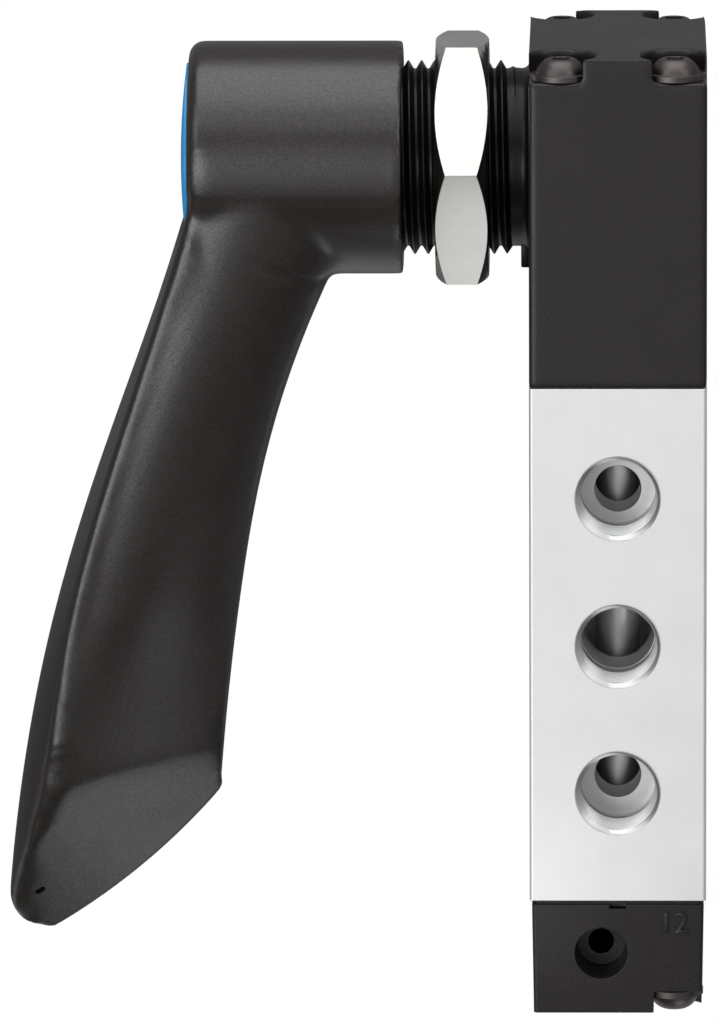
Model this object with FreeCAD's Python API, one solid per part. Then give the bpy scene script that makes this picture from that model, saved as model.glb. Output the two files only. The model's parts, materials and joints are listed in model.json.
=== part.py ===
"""Panel-mounted hand lever air valve, in millimetres.

The origin is on the axis of the threaded neck, at the face that seats behind the panel.
+X runs into the valve block, +Y away from the port side, +Z up. The lever hangs down at rest.
"""

import FreeCAD, Part
import math
import os

from FreeCAD import Vector

os.makedirs("parts", exist_ok=True)

# Valve block
BLOCK_WIDTH = 20.0
BLOCK_DEPTH = 36.0
HOUSING_TOP = 14.1
BODY_TOP = -23.4
BODY_HEIGHT = 59.1
EDGE_ROUND = 0.4
CAVITY_WALL = 4.0
CAVITY_DEPTH_Y = 18.4
CAVITY_TOP = 11.0

# Threaded neck, M22 x 1.5
NECK_RADIUS = 11.0
NECK_LENGTH = 23.0
NECK_ROOT_RADIUS = 10.1
THREAD_END = 2.1
NECK_FLARE = 0.9
NECK_BORE_RADIUS = 7.0
LUG_REACH = 1.0
LUG_WIDTH = 3.2
LUG_BOTTOM = 12.5

# Panel nut
NUT_FLATS = 27.0
NUT_THICKNESS = 6.0
NUT_FACE_X = -4.63
NUT_TURN = 28.2
NUT_CHAMFER = 30.0

# Ports, G 1/8
PORT_RADIUS = 4.864
PORT_DEPTH = 8.0
PORT_PITCH = 17.0
FIRST_PORT_DROP = 12.6
OUTER_PORT_BORE_RADIUS = 2.65
OUTER_PORT_BORE_SHIFT = 0.4
MIDDLE_PORT_BORE_RADIUS = 4.2

# Spool and its bore
SPOOL_BORE_RADIUS = 4.0
RUNNING_GAP = 0.05
SPOOL_WAIST_RADIUS = 2.5
GROOVE_RADIUS = 5.2
GROOVE_WIDTH = 4.0
LAND_OVERLAP = 0.8
END_LAND_LENGTH = 5.0
STEM_RADIUS = 3.0
SEAL_WIDTH = 1.2
SEAL_DEPTH = 0.9
SEAL_GAP = 0.02

# Bottom cap
GASKET_THICKNESS = 0.5
GASKET_INSET = 0.6
CAP_HEIGHT = 12.7
CAP_INSET = 0.25
CAP_DRAFT = 0.2
CAP_CHAMBER_RADIUS = 4.4
CAP_CHAMBER_DEPTH = 7.5
PILOT_X = 8.1
PILOT_DROP = 5.7
PILOT_RADIUS = 3.0
PILOT_FLOOR_RADIUS = 2.75
PILOT_DEPTH = 6.0
PILOT_HOLE_RADIUS = 1.43
VENT_WIDTH = 1.9
VENT_HEIGHT = 0.5
VENT_DEPTH = 1.2

# Collar screws, M3
SCREW_SIDE_INSET = 3.6
SCREW_FRONT_INSET = 3.2
SCREW_REAR_INSET = 3.4
SCREW_RADIUS = 1.5
SCREW_FIT = 0.02
SCREW_GRIP = 7.6
FLANGE_RADIUS = 3.3
FLANGE_THICKNESS = 0.72
DOME_RADIUS = 2.82
HEAD_HEIGHT = 2.35
SOCKET_FLATS = 2.0
SOCKET_DEPTH = 1.3
FRONT_POCKET_RADIUS = 3.9
REAR_POCKET_RADIUS = 3.6
POCKET_DEPTH = 2.74
CAP_POCKET_RADIUS = 3.6
CAP_POCKET_DEPTH = 2.45

# Lever hub
HUB_RADIUS = 13.24
HUB_FRONT = -38.65
HUB_BACK = -14.4
HUB_ROUND = 1.7
SKIRT_GAP = 0.4
WEB_THICKNESS = 7.7
SCREW_WELL_RADIUS = 8.0
COVER_RADIUS = 10.8
COVER_THICKNESS = 1.6
COVER_PROUD = 0.25
COVER_DOME = 0.7
COVER_GAP = 0.05
COVER_SKIRT_WALL = 0.9
COVER_SKIRT_DEPTH = 2.5

# Lever handle: side-view lines as pairs of drop below the axis and place along X
HANDLE_RIDGE = ((1.0, -37.6), (12.7, -40.9), (30.5, -46.4), (50.6, -51.9), (70.0, -54.8), (92.0, -56.5))
HANDLE_CREST = ((1.0, -38.0), (12.7, -41.24), (30.5, -47.55), (50.6, -54.0), (70.0, -58.14), (92.0, -60.4))
HANDLE_INNER = ((1.0, -16.2), (14.2, -23.17), (29.3, -28.87), (50.3, -33.15), (71.4, -35.5), (92.0, -36.4))
# Pairs of drop and half width of the inner side, radius of the bowed sides, radius of the inner corners
HANDLE_EDGE = ((1.0, 5.8), (14.2, 6.1), (29.3, 5.4), (50.3, 3.7), (71.4, 1.8), (92.0, 1.0))
HANDLE_BOW = ((1.0, 42.0), (20.0, 44.0), (45.0, 60.0), (70.0, 110.0), (92.0, 160.0))
HANDLE_NOSE = ((1.0, 6.5), (16.0, 5.6), (28.0, 3.6), (45.0, 1.7), (70.0, 1.1), (92.0, 0.8))
HANDLE_NOSE_SHARE = 0.9
HANDLE_HALF_WIDTH = 13.2
HANDLE_WIDTH_TAPER = 0.0457
HANDLE_RIDGE_ROUND = 1.6
HANDLE_STATIONS = 9
KEEL_STEPS = 4
KEEL_RADIUS = 78.0
KEEL_CENTRE = (-94.9, -23.1)
KEEL_CORNER_ROUND = 3.8
BEVEL_STEEPNESS = 1.51
TIP_RADIUS = 4.35
TIP_X = -59.95
TIP_SLOT_WIDTH = 0.45
TIP_SLOT_LENGTH = 1.05
TIP_SLOT_DEPTH = 0.8
TIP_SLOT_X = -56.35
TIP_SLOT_DROP = 84.85

# Drive shaft
SHAFT_RADIUS = 4.0
SHAFT_SQUARE = 5.6
SQUARE_FIT = 0.05
SHAFT_END_GAP = 0.4
DISC_RADIUS = 6.6
DISC_THICKNESS = 3.2
CRANK_RADIUS = 4.5
CRANK_PIN_RADIUS = 1.5
CRANK_PIN_REACH = 13.0
CRANK_PIN_SEAT = 2.5
SLOT_GAP = 0.15
LEVER_SWING = 40.0
BUSH_GAP = 0.04
BUSH_FIT = 0.02
CIRCLIP_THICKNESS = 0.9
CIRCLIP_DEPTH = 0.5
CIRCLIP_WIDTH = 1.9
THRUST_WASHER_THICKNESS = 1.0
THRUST_WASHER_RADIUS = 9.5
THRUST_GAP = 0.15
SHAFT_SEAL_X = -5.0
SHAFT_SEAL_WIDTH = 1.8
LEVER_SCREW_RADIUS = 2.0
LEVER_SCREW_LENGTH = 10.0
LEVER_SCREW_HEAD_RADIUS = 3.5
LEVER_SCREW_HEAD_HEIGHT = 2.4
LEVER_SCREW_SOCKET = 2.5
WASHER_RADIUS = 5.0
WASHER_THICKNESS = 1.0

# Yoke and detent
YOKE_TOP = 7.6
YOKE_BOTTOM = -16.0
YOKE_GAP = 0.1
YOKE_ROUND = 1.0
STEM_SEAT_DEPTH = 7.5
YOKE_PIN_RADIUS = 1.0
DETENT_DROP = 5.0
BALL_RADIUS = 1.5
BALL_BORE_GAP = 0.1
DETENT_GROOVE_DEPTH = 0.6
SPRING_WIRE_RADIUS = 0.25
SPRING_TURNS = 7

# Worked out from the sizes above
HALF_DEPTH = BLOCK_DEPTH / 2
MID_X = BLOCK_WIDTH / 2
BODY_BOTTOM = BODY_TOP - BODY_HEIGHT
CAP_TOP = BODY_BOTTOM - GASKET_THICKNESS
CAP_BOTTOM = CAP_TOP - CAP_HEIGHT
POCKET_FLOOR = HOUSING_TOP - POCKET_DEPTH
SCREW_X = (SCREW_SIDE_INSET, BLOCK_WIDTH - SCREW_SIDE_INSET)
SCREW_Y = (SCREW_FRONT_INSET - HALF_DEPTH, HALF_DEPTH - SCREW_REAR_INSET)
CAP_POCKET_CEILING = CAP_BOTTOM + CAP_POCKET_DEPTH
FRONT_PORTS_Z = [BODY_TOP - FIRST_PORT_DROP - i * PORT_PITCH for i in range(3)]
REAR_PORTS_Z = [z - PORT_PITCH / 2 for z in FRONT_PORTS_Z[:2]]
SWING = math.radians(LEVER_SWING)
TRAVEL = CRANK_RADIUS * math.sin(SWING)
LAND_RADIUS = SPOOL_BORE_RADIUS - RUNNING_GAP
LAND_LENGTH = GROOVE_WIDTH + 2 * LAND_OVERLAP
COVER_SEAT = HUB_FRONT + COVER_THICKNESS
WEB_BACK = -NECK_LENGTH - 2 * THRUST_GAP - THRUST_WASHER_THICKNESS
WEB_FRONT = WEB_BACK - WEB_THICKNESS
SHAFT_END = WEB_FRONT + SHAFT_END_GAP
SKIRT_RADIUS = NECK_RADIUS + SKIRT_GAP
CIRCLIP_X = -NECK_LENGTH + 2 * CIRCLIP_THICKNESS
BUSH_END = -THRUST_GAP
CAVITY_HALF = CAVITY_DEPTH_Y / 2
YOKE_HALF_Y = CAVITY_HALF - YOKE_GAP
YOKE_HALF_X = MID_X - CAVITY_WALL - 2 * YOKE_GAP
BALL_Y = CAVITY_HALF - RUNNING_GAP - BALL_RADIUS
FAR = 100.0
PAST = 1.0


def box(x0, x1, y0, y1, z0, z1):
    """A box between two corners."""
    return Part.makeBox(x1 - x0, y1 - y0, z1 - z0, Vector(x0, y0, z0))


def rod_x(radius, x0, x1, y=0.0, z=0.0):
    """A round bar along X."""
    return Part.makeCylinder(radius, x1 - x0, Vector(x0, y, z), Vector(1, 0, 0))


def rod_y(radius, y0, y1, x, z):
    """A round bar along Y."""
    return Part.makeCylinder(radius, y1 - y0, Vector(x, y0, z), Vector(0, 1, 0))


def rod_z(radius, z0, z1, x, y):
    """A round bar along Z."""
    return Part.makeCylinder(radius, z1 - z0, Vector(x, y, z0), Vector(0, 0, 1))


def hexagon(flats, length, base, direction):
    """A hexagonal bar of a given width across flats."""
    corner = flats / math.sqrt(3)
    turns = [math.pi * i / 3 for i in range(7)]
    points = [Vector(corner * math.cos(turn), corner * math.sin(turn), 0) for turn in turns]
    bar = Part.Face(Part.makePolygon(points)).extrude(Vector(0, 0, length))
    bar.Placement = FreeCAD.Placement(base, FreeCAD.Rotation(Vector(0, 0, 1), direction))
    return bar


def rounded_upright(shape, radius):
    """The block with its four long corners rounded."""
    return shape.makeFillet(radius, upright_edges(shape))


def upright_edges(shape):
    """The straight edges that run along Z."""
    found = []
    for edge in shape.Edges:
        start, end = edge.Vertexes[0].Point, edge.Vertexes[-1].Point
        if abs(start.x - end.x) < 0.001 and abs(start.y - end.y) < 0.001:
            found.append(edge)
    return found


def group(solids):
    """Separate solids kept together in one node."""
    return Part.makeCompound(solids)


def housing_screw_places():
    """Centres of the four screws that hold the housing."""
    return [(x, y) for x in SCREW_X for y in SCREW_Y]


def cap_screw_places():
    """Centres of the two screws that hold the bottom cap, on a diagonal."""
    return [(SCREW_X[1], SCREW_Y[0]), (SCREW_X[0], SCREW_Y[1])]


def screw_pocket(x, y, radius, z0, z1):
    """A round pocket for a screw head, open at the nearest corner of the block."""
    corner_x = x + math.copysign(FAR, x - MID_X)
    corner_y = y + math.copysign(FAR, y)
    pocket = rod_z(radius, z0, z1, x, y)
    opening = box(min(x, corner_x), max(x, corner_x), min(y, corner_y), max(y, corner_y), z0, z1)
    return pocket.fuse(opening)


def collar_screw(x, y, seat, direction, length):
    """A domed socket screw with a collar, its shank along Z."""
    outline = [
        Vector(0, 0, -length),
        Vector(SCREW_RADIUS, 0, -length),
        Vector(SCREW_RADIUS, 0, 0),
        Vector(FLANGE_RADIUS, 0, 0),
        Vector(FLANGE_RADIUS, 0, FLANGE_THICKNESS),
        Vector(DOME_RADIUS, 0, FLANGE_THICKNESS),
    ]
    crown = Vector(SOCKET_FLATS * 0.75, 0, HEAD_HEIGHT)
    bulge = Vector(DOME_RADIUS * 0.83, 0, (FLANGE_THICKNESS + HEAD_HEIGHT) / 2 + FLANGE_THICKNESS / 4)
    edges = [Part.makeLine(a, b) for a, b in zip(outline, outline[1:])]
    edges.append(Part.Arc(outline[-1], bulge, crown).toShape())
    edges.append(Part.makeLine(crown, Vector(0, 0, HEAD_HEIGHT)))
    edges.append(Part.makeLine(Vector(0, 0, HEAD_HEIGHT), outline[0]))
    screw = Part.Face(Part.Wire(edges)).revolve(Vector(0, 0, 0), Vector(0, 0, 1), 360)
    floor = Vector(0, 0, HEAD_HEIGHT - SOCKET_DEPTH)
    socket = hexagon(SOCKET_FLATS, SOCKET_DEPTH + PAST, floor, Vector(0, 0, 1))
    screw = screw.cut(socket)
    turn = FreeCAD.Rotation(Vector(1, 0, 0), 0 if direction > 0 else 180)
    screw.Placement = FreeCAD.Placement(Vector(x, y, seat), turn)
    return screw


def detent_grooves():
    """Shallow round grooves in the cavity walls, one for each lever position."""
    radius = BALL_RADIUS + BALL_BORE_GAP
    grooves = []
    for side in (-1, 1):
        for step in (-1, 0, 1):
            y = side * (CAVITY_HALF + DETENT_GROOVE_DEPTH - radius)
            z = step * TRAVEL - DETENT_DROP
            grooves.append(rod_x(radius, CAVITY_WALL + PAST, BLOCK_WIDTH - CAVITY_WALL - PAST, y, z))
    return grooves


def neck():
    """The threaded neck with its run-out and the flare where it meets the housing."""
    arc_middle = NECK_FLARE * (1 - math.sqrt(0.5))
    points = [
        Vector(-NECK_LENGTH, 0, 0),
        Vector(-NECK_LENGTH, 0, NECK_RADIUS - NECK_FLARE / 2),
        Vector(-NECK_LENGTH + NECK_FLARE / 2, 0, NECK_RADIUS),
        Vector(-THREAD_END, 0, NECK_RADIUS),
        Vector(-THREAD_END, 0, NECK_ROOT_RADIUS),
        Vector(-NECK_FLARE, 0, NECK_ROOT_RADIUS),
    ]
    edges = [Part.makeLine(a, b) for a, b in zip(points, points[1:])]
    foot = Vector(0, 0, NECK_ROOT_RADIUS + NECK_FLARE)
    flare = Part.Arc(points[-1], Vector(-arc_middle, 0, NECK_ROOT_RADIUS + arc_middle), foot)
    edges.append(flare.toShape())
    edges.append(Part.makeLine(foot, Vector(PAST, 0, foot.z)))
    edges.append(Part.makeLine(Vector(PAST, 0, foot.z), Vector(PAST, 0, 0)))
    edges.append(Part.makeLine(Vector(PAST, 0, 0), points[0]))
    return Part.Face(Part.Wire(edges)).revolve(Vector(0, 0, 0), Vector(1, 0, 0), 360)


def upper_housing():
    """Moulded housing with the neck, the cavity for the yoke and the screw pockets."""
    block = box(0, BLOCK_WIDTH, -HALF_DEPTH, HALF_DEPTH, BODY_TOP, HOUSING_TOP)
    block = rounded_upright(block, EDGE_ROUND)
    for x, y in housing_screw_places():
        radius = FRONT_POCKET_RADIUS if y < 0 else REAR_POCKET_RADIUS
        block = block.cut(screw_pocket(x, y, radius, POCKET_FLOOR, HOUSING_TOP + PAST))
        block = block.cut(rod_z(SCREW_RADIUS + SCREW_FIT, BODY_TOP - PAST, HOUSING_TOP, x, y))
    lug = box(-LUG_REACH, PAST, -LUG_WIDTH / 2, LUG_WIDTH / 2, -LUG_BOTTOM, -NECK_BORE_RADIUS - PAST)
    block = block.fuse([neck(), lug])
    block = block.cut(rod_x(NECK_BORE_RADIUS, -NECK_LENGTH - PAST, CAVITY_WALL + PAST))
    cavity = box(CAVITY_WALL, BLOCK_WIDTH - CAVITY_WALL, -CAVITY_HALF, CAVITY_HALF, BODY_TOP - PAST, CAVITY_TOP)
    block = block.cut([rounded_upright(cavity, YOKE_ROUND)] + detent_grooves())
    recess = gasket_plate(BODY_TOP, 0.0)
    groove = rod_x(NECK_BORE_RADIUS + CIRCLIP_DEPTH, CIRCLIP_X - CIRCLIP_THICKNESS, CIRCLIP_X)
    return block.cut([recess, groove])


def gasket_plate(level, gap):
    """A flat gasket blank that lies from a level upward, set in from the block's outline."""
    low = GASKET_INSET + gap
    plate = box(low, BLOCK_WIDTH - low, -HALF_DEPTH + low, HALF_DEPTH - low, level, level + GASKET_THICKNESS)
    return rounded_upright(plate, EDGE_ROUND)


def housing_gasket():
    """Gasket in the recess under the housing, open round the yoke cavity."""
    plate = gasket_plate(BODY_TOP, SCREW_FIT)
    window = box(CAVITY_WALL, BLOCK_WIDTH - CAVITY_WALL, -CAVITY_HALF, CAVITY_HALF, BODY_TOP - PAST, CAVITY_TOP)
    plate = plate.cut(window)
    for x, y in housing_screw_places():
        plate = plate.cut(rod_z(SCREW_RADIUS + SCREW_FIT, BODY_TOP - PAST, HOUSING_TOP, x, y))
    return plate


def bottom_gasket():
    """Gasket between the body and the bottom cap; its edge shows as a dark line."""
    plate = gasket_plate(CAP_TOP, 0.0)
    plate = plate.cut(rod_z(CAP_CHAMBER_RADIUS, CAP_BOTTOM, BODY_TOP, MID_X, 0))
    for x, y in cap_screw_places():
        plate = plate.cut(rod_z(SCREW_RADIUS + SCREW_FIT, CAP_BOTTOM, BODY_TOP, x, y))
    return plate


def front_port(index, z):
    """One port of the front face: the tapped mouth and the bore to the spool."""
    mouth = rod_y(PORT_RADIUS, -HALF_DEPTH - PAST, -HALF_DEPTH + PORT_DEPTH, MID_X, z)
    if index == 1:
        return mouth.fuse(rod_y(MIDDLE_PORT_BORE_RADIUS, -HALF_DEPTH, 0, MID_X, z))
    shift = OUTER_PORT_BORE_SHIFT * (index - 1)
    return mouth.fuse(rod_y(OUTER_PORT_BORE_RADIUS, -HALF_DEPTH, 0, MID_X, z + shift))


def rear_port(z):
    """One port of the rear face."""
    mouth = rod_y(PORT_RADIUS, HALF_DEPTH - PORT_DEPTH, HALF_DEPTH + PAST, MID_X, z)
    return mouth.fuse(rod_y(OUTER_PORT_BORE_RADIUS, 0, HALF_DEPTH, MID_X, z))


def valve_body():
    """Machined body with five ports, the spool bore and its grooves at the two rear ports."""
    body = box(0, BLOCK_WIDTH, -HALF_DEPTH, HALF_DEPTH, BODY_BOTTOM, BODY_TOP)
    body = rounded_upright(body, EDGE_ROUND)
    cuts = [rod_z(SPOOL_BORE_RADIUS, BODY_BOTTOM - PAST, BODY_TOP + PAST, MID_X, 0)]
    for index, z in enumerate(FRONT_PORTS_Z):
        cuts.append(front_port(index, z))
    for z in REAR_PORTS_Z:
        cuts.append(rear_port(z))
        cuts.append(rod_z(GROOVE_RADIUS, z - GROOVE_WIDTH / 2, z + GROOVE_WIDTH / 2, MID_X, 0))
    tapped = SCREW_RADIUS + SCREW_FIT
    for x, y in housing_screw_places():
        cuts.append(rod_z(tapped, BODY_TOP - SCREW_GRIP, BODY_TOP + PAST, x, y))
    for x, y in cap_screw_places():
        cuts.append(rod_z(tapped, BODY_BOTTOM - PAST, BODY_BOTTOM + SCREW_GRIP, x, y))
    return body.cut(cuts)


def cap_outline(inset, z):
    """The bottom cap's outline at one height."""
    points = [
        Vector(inset, -HALF_DEPTH + inset, z),
        Vector(BLOCK_WIDTH - inset, -HALF_DEPTH + inset, z),
        Vector(BLOCK_WIDTH - inset, HALF_DEPTH - inset, z),
        Vector(inset, HALF_DEPTH - inset, z),
    ]
    return Part.makePolygon(points + points[:1])


def bottom_cap():
    """Moulded end cap with draft, the pilot port and two screw pockets."""
    outlines = [cap_outline(CAP_INSET, CAP_TOP), cap_outline(CAP_INSET + CAP_DRAFT, CAP_BOTTOM)]
    cap = Part.makeLoft(outlines, True, True)
    long_corners = [edge for edge in cap.Edges if edge.BoundBox.ZLength > CAP_HEIGHT / 2]
    cap = cap.makeFillet(EDGE_ROUND, long_corners)
    pilot_z = CAP_TOP - PILOT_DROP
    face = -HALF_DEPTH + CAP_INSET
    start = Vector(PILOT_X, face, pilot_z)
    mouth = Part.makeCone(PILOT_RADIUS, PILOT_FLOOR_RADIUS, PILOT_DEPTH, start, Vector(0, 1, 0))
    lead = rod_y(PILOT_RADIUS, face - PAST, face, PILOT_X, pilot_z)
    feed = rod_y(PILOT_HOLE_RADIUS, face, 0, PILOT_X, pilot_z)
    chamber = rod_z(CAP_CHAMBER_RADIUS, CAP_TOP - CAP_CHAMBER_DEPTH, CAP_TOP + PAST, MID_X, 0)
    half = VENT_WIDTH / 2
    vent = box(MID_X - half, MID_X + half, -FAR, face + VENT_DEPTH, CAP_TOP - VENT_HEIGHT, CAP_TOP + PAST)
    cap = cap.cut([lead.fuse([mouth, feed]), chamber, vent])
    for x, y in cap_screw_places():
        cap = cap.cut(screw_pocket(x, y, CAP_POCKET_RADIUS, CAP_BOTTOM - PAST, CAP_POCKET_CEILING))
        cap = cap.cut(rod_z(SCREW_RADIUS + SCREW_FIT, CAP_BOTTOM, CAP_TOP + PAST, x, y))
    return cap


def housing_screws():
    """Four screws down through the housing into the body."""
    length = POCKET_FLOOR - BODY_TOP + SCREW_GRIP - SCREW_FIT
    return group([collar_screw(x, y, POCKET_FLOOR, 1, length) for x, y in housing_screw_places()])


def cap_screws():
    """Two screws up through the cap into the body."""
    length = BODY_BOTTOM - CAP_POCKET_CEILING + SCREW_GRIP - SCREW_FIT
    return group([collar_screw(x, y, CAP_POCKET_CEILING, -1, length) for x, y in cap_screw_places()])


def shaft_bush():
    """Plain bearing for the shaft, pressed into the neck."""
    return rod_x(NECK_BORE_RADIUS - BUSH_FIT, CIRCLIP_X, BUSH_END).cut(
        rod_x(SHAFT_RADIUS + BUSH_GAP, -NECK_LENGTH, PAST)
    )


def bush_circlip():
    """Internal retaining ring that holds the bush, with its gap at the bottom."""
    outer = NECK_BORE_RADIUS + CIRCLIP_DEPTH - BUSH_FIT
    inner = outer - CIRCLIP_WIDTH
    ring = rod_x(outer, CIRCLIP_X - CIRCLIP_THICKNESS + BUSH_FIT, CIRCLIP_X - BUSH_FIT)
    ring = ring.cut(rod_x(inner, CIRCLIP_X - FAR, CIRCLIP_X + FAR))
    return ring.cut(box(CIRCLIP_X - FAR, CIRCLIP_X + FAR, -CIRCLIP_WIDTH, CIRCLIP_WIDTH, -outer - PAST, 0))


def panel_nut():
    """Hexagon nut with both faces chamfered, turned as it sits."""
    nut = hexagon(NUT_FLATS, NUT_THICKNESS, Vector(NUT_FACE_X - NUT_THICKNESS, 0, 0), Vector(1, 0, 0))
    corner = NUT_FLATS / math.sqrt(3)
    slope = math.tan(math.radians(NUT_CHAMFER))
    fall = (corner - NUT_FLATS / 2 + RUNNING_GAP) * slope
    outline = [
        Vector(NUT_FACE_X - NUT_THICKNESS, 0, 0),
        Vector(NUT_FACE_X - NUT_THICKNESS, 0, NUT_FLATS / 2 - RUNNING_GAP),
        Vector(NUT_FACE_X - NUT_THICKNESS + fall, 0, corner),
        Vector(NUT_FACE_X - fall, 0, corner),
        Vector(NUT_FACE_X, 0, NUT_FLATS / 2 - RUNNING_GAP),
        Vector(NUT_FACE_X, 0, 0),
    ]
    barrel = Part.Face(Part.makePolygon(outline + outline[:1])).revolve(Vector(0, 0, 0), Vector(1, 0, 0), 360)
    corner_point = max(nut.Vertexes, key=lambda v: v.Z).Point
    place = math.degrees(math.atan2(-corner_point.y, corner_point.z))
    nut.rotate(Vector(0, 0, 0), Vector(1, 0, 0), NUT_TURN - place)
    return nut.common(barrel).cut(rod_x(NECK_RADIUS + RUNNING_GAP, -FAR, FAR))


def along(points):
    """The smooth line through pairs of drop and place, read by the drop."""
    curve = Part.BSplineCurve()
    places = [Vector(x, 0, -drop) for drop, x in points]
    curve.interpolate(Points=places, Parameters=[drop for drop, x in points])
    return curve


def meeting(first, reach, second, other_reach):
    """The point at given distances from two centres, on the port side."""
    line = second - first
    along_line = (reach * reach - other_reach * other_reach + line.Length**2) / (2 * line.Length)
    aside = math.sqrt(reach * reach - along_line * along_line)
    line.normalize()
    options = [first + line * along_line + Vector(-line.y, line.x, 0) * (side * aside) for side in (-1, 1)]
    return min(options, key=lambda point: point.y)


def handle_section(drop):
    """Outline of the handle at one height: crowned outer face, bowed sides, rounded inner corners."""
    ridge = along(HANDLE_RIDGE).value(drop).x
    crest = along(HANDLE_CREST).value(drop).x
    inner = along(HANDLE_INNER).value(drop).x
    edge = along(HANDLE_EDGE).value(drop).x
    bow = along(HANDLE_BOW).value(drop).x
    half = HANDLE_HALF_WIDTH - HANDLE_WIDTH_TAPER * drop
    rise = ridge - crest
    crown = (half * half + rise * rise) / (2 * rise)
    crown_centre = Vector(crest + crown, 0, 0)
    outer_end = Vector(ridge, -half, 0)
    inner_end = Vector(inner, -edge, 0)
    chord = inner_end - outer_end
    lean = math.tan(math.pi / 4 - math.atan2(chord.y, chord.x) / 2)
    nose = min(along(HANDLE_NOSE).value(drop).x, HANDLE_NOSE_SHARE * edge / lean)
    across = Vector(-chord.y, chord.x, 0).normalize()
    bow_centre = (outer_end + inner_end) * 0.5 + across * math.sqrt(bow * bow - chord.Length**2 / 4)
    hub = meeting(crown_centre, crown - HANDLE_RIDGE_ROUND, bow_centre, bow - HANDLE_RIDGE_ROUND)
    on_crown = crown_centre + (hub - crown_centre).normalize() * crown
    on_side = bow_centre + (hub - bow_centre).normalize() * bow
    outward = ((on_crown - hub).normalize() + (on_side - hub).normalize()).normalize()
    ridge_middle = hub + outward * HANDLE_RIDGE_ROUND
    bend_x = inner - nose
    bend = Vector(bend_x, bow_centre.y - math.sqrt((bow - nose) ** 2 - (bend_x - bow_centre.x) ** 2), 0)
    side_end = bow_centre + (bend - bow_centre).normalize() * bow
    bend_middle = bend + (Vector(1, 0, 0) + (bend - bow_centre).normalize()).normalize() * nose
    side_middle = bow_centre + (on_side + side_end - bow_centre * 2).normalize() * bow
    flat_end = Vector(inner, bend.y, 0)
    front = [on_crown, ridge_middle, on_side, side_middle, side_end, bend_middle, flat_end]
    front = [Vector(p.x, p.y, -drop) for p in front]
    back = [Vector(p.x, -p.y, p.z) for p in front]
    edges = [
        Part.Arc(back[0], Vector(crest, 0, -drop), front[0]).toShape(),
        Part.Arc(front[0], front[1], front[2]).toShape(),
        Part.Arc(front[2], front[3], front[4]).toShape(),
        Part.Arc(front[4], front[5], front[6]).toShape(),
        Part.makeLine(front[6], back[6]),
        Part.Arc(back[6], back[5], back[4]).toShape(),
        Part.Arc(back[4], back[3], back[2]).toShape(),
        Part.Arc(back[2], back[1], back[0]).toShape(),
    ]
    return Part.Wire(edges)


def inside_keel(x, radius):
    """Centre, at one place along X, of a circle that touches the keel's curve from inside."""
    reach = KEEL_RADIUS - radius
    return Vector(x, 0, KEEL_CENTRE[1] - math.sqrt(reach * reach - (x - KEEL_CENTRE[0]) ** 2))


def keel_corner():
    """Centre of the rounding that leads from the keel into the inner side."""
    drop = KEEL_RADIUS - KEEL_CENTRE[1] / 2
    for _ in range(KEEL_STEPS):
        corner = inside_keel(along(HANDLE_INNER).value(drop).x - KEEL_CORNER_ROUND, KEEL_CORNER_ROUND)
        drop = -corner.z
    return corner


def handle_profile():
    """Side-view region that rounds the tip, follows the curved keel and rounds its upper end."""
    centre = Vector(KEEL_CENTRE[0], 0, KEEL_CENTRE[1])
    tip = inside_keel(TIP_X + TIP_RADIUS, TIP_RADIUS)
    corner = keel_corner()
    tip_out = (tip - centre).normalize()
    corner_out = (corner - centre).normalize()
    on_keel = [centre + out * KEEL_RADIUS for out in (tip_out, (tip_out + corner_out).normalize(), corner_out)]
    front = tip - Vector(TIP_RADIUS, 0, 0)
    below = tip + (tip_out - Vector(1, 0, 0)).normalize() * TIP_RADIUS
    behind = corner + (corner_out + Vector(1, 0, 0)).normalize() * KEEL_CORNER_ROUND
    back = corner + Vector(KEEL_CORNER_ROUND, 0, 0)
    outline = [back, back + Vector(FAR / 4, 0, 0), back + Vector(FAR / 4, 0, FAR)]
    outline += [front + Vector(0, 0, FAR), front]
    edges = [
        Part.Arc(front, below, on_keel[0]).toShape(),
        Part.Arc(on_keel[0], on_keel[1], on_keel[2]).toShape(),
        Part.Arc(on_keel[2], behind, back).toShape(),
    ]
    edges += [Part.makeLine(a, b) for a, b in zip(outline, outline[1:])]
    face = Part.Face(Part.Wire(edges))
    face.translate(Vector(0, -HANDLE_HALF_WIDTH - PAST, 0))
    return face.extrude(Vector(0, 2 * HANDLE_HALF_WIDTH + 2 * PAST, 0))


def bevel_cones():
    """Round body whose two flanks cut the bevels that meet along the keel."""
    reach = HANDLE_HALF_WIDTH + PAST
    low = KEEL_RADIUS - BEVEL_STEEPNESS * reach
    points = [Vector(0, -reach, 0), Vector(low, -reach, 0), Vector(KEEL_RADIUS, 0, 0), Vector(low, reach, 0)]
    points.append(Vector(0, reach, 0))
    body = Part.Face(Part.makePolygon(points + points[:1])).revolve(Vector(0, 0, 0), Vector(0, 1, 0), 360)
    body.translate(Vector(KEEL_CENTRE[0], 0, KEEL_CENTRE[1]))
    return body


def handle_grip():
    """The grip, from inside the hub down to the bevelled tip."""
    first = HANDLE_RIDGE[0][0]
    last = HANDLE_RIDGE[-1][0]
    drops = [first + (last - first) * i / (HANDLE_STATIONS - 1) for i in range(HANDLE_STATIONS)]
    grip = Part.makeLoft([handle_section(drop) for drop in drops], True, False)
    return grip.common(bevel_cones()).common(handle_profile())


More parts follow.
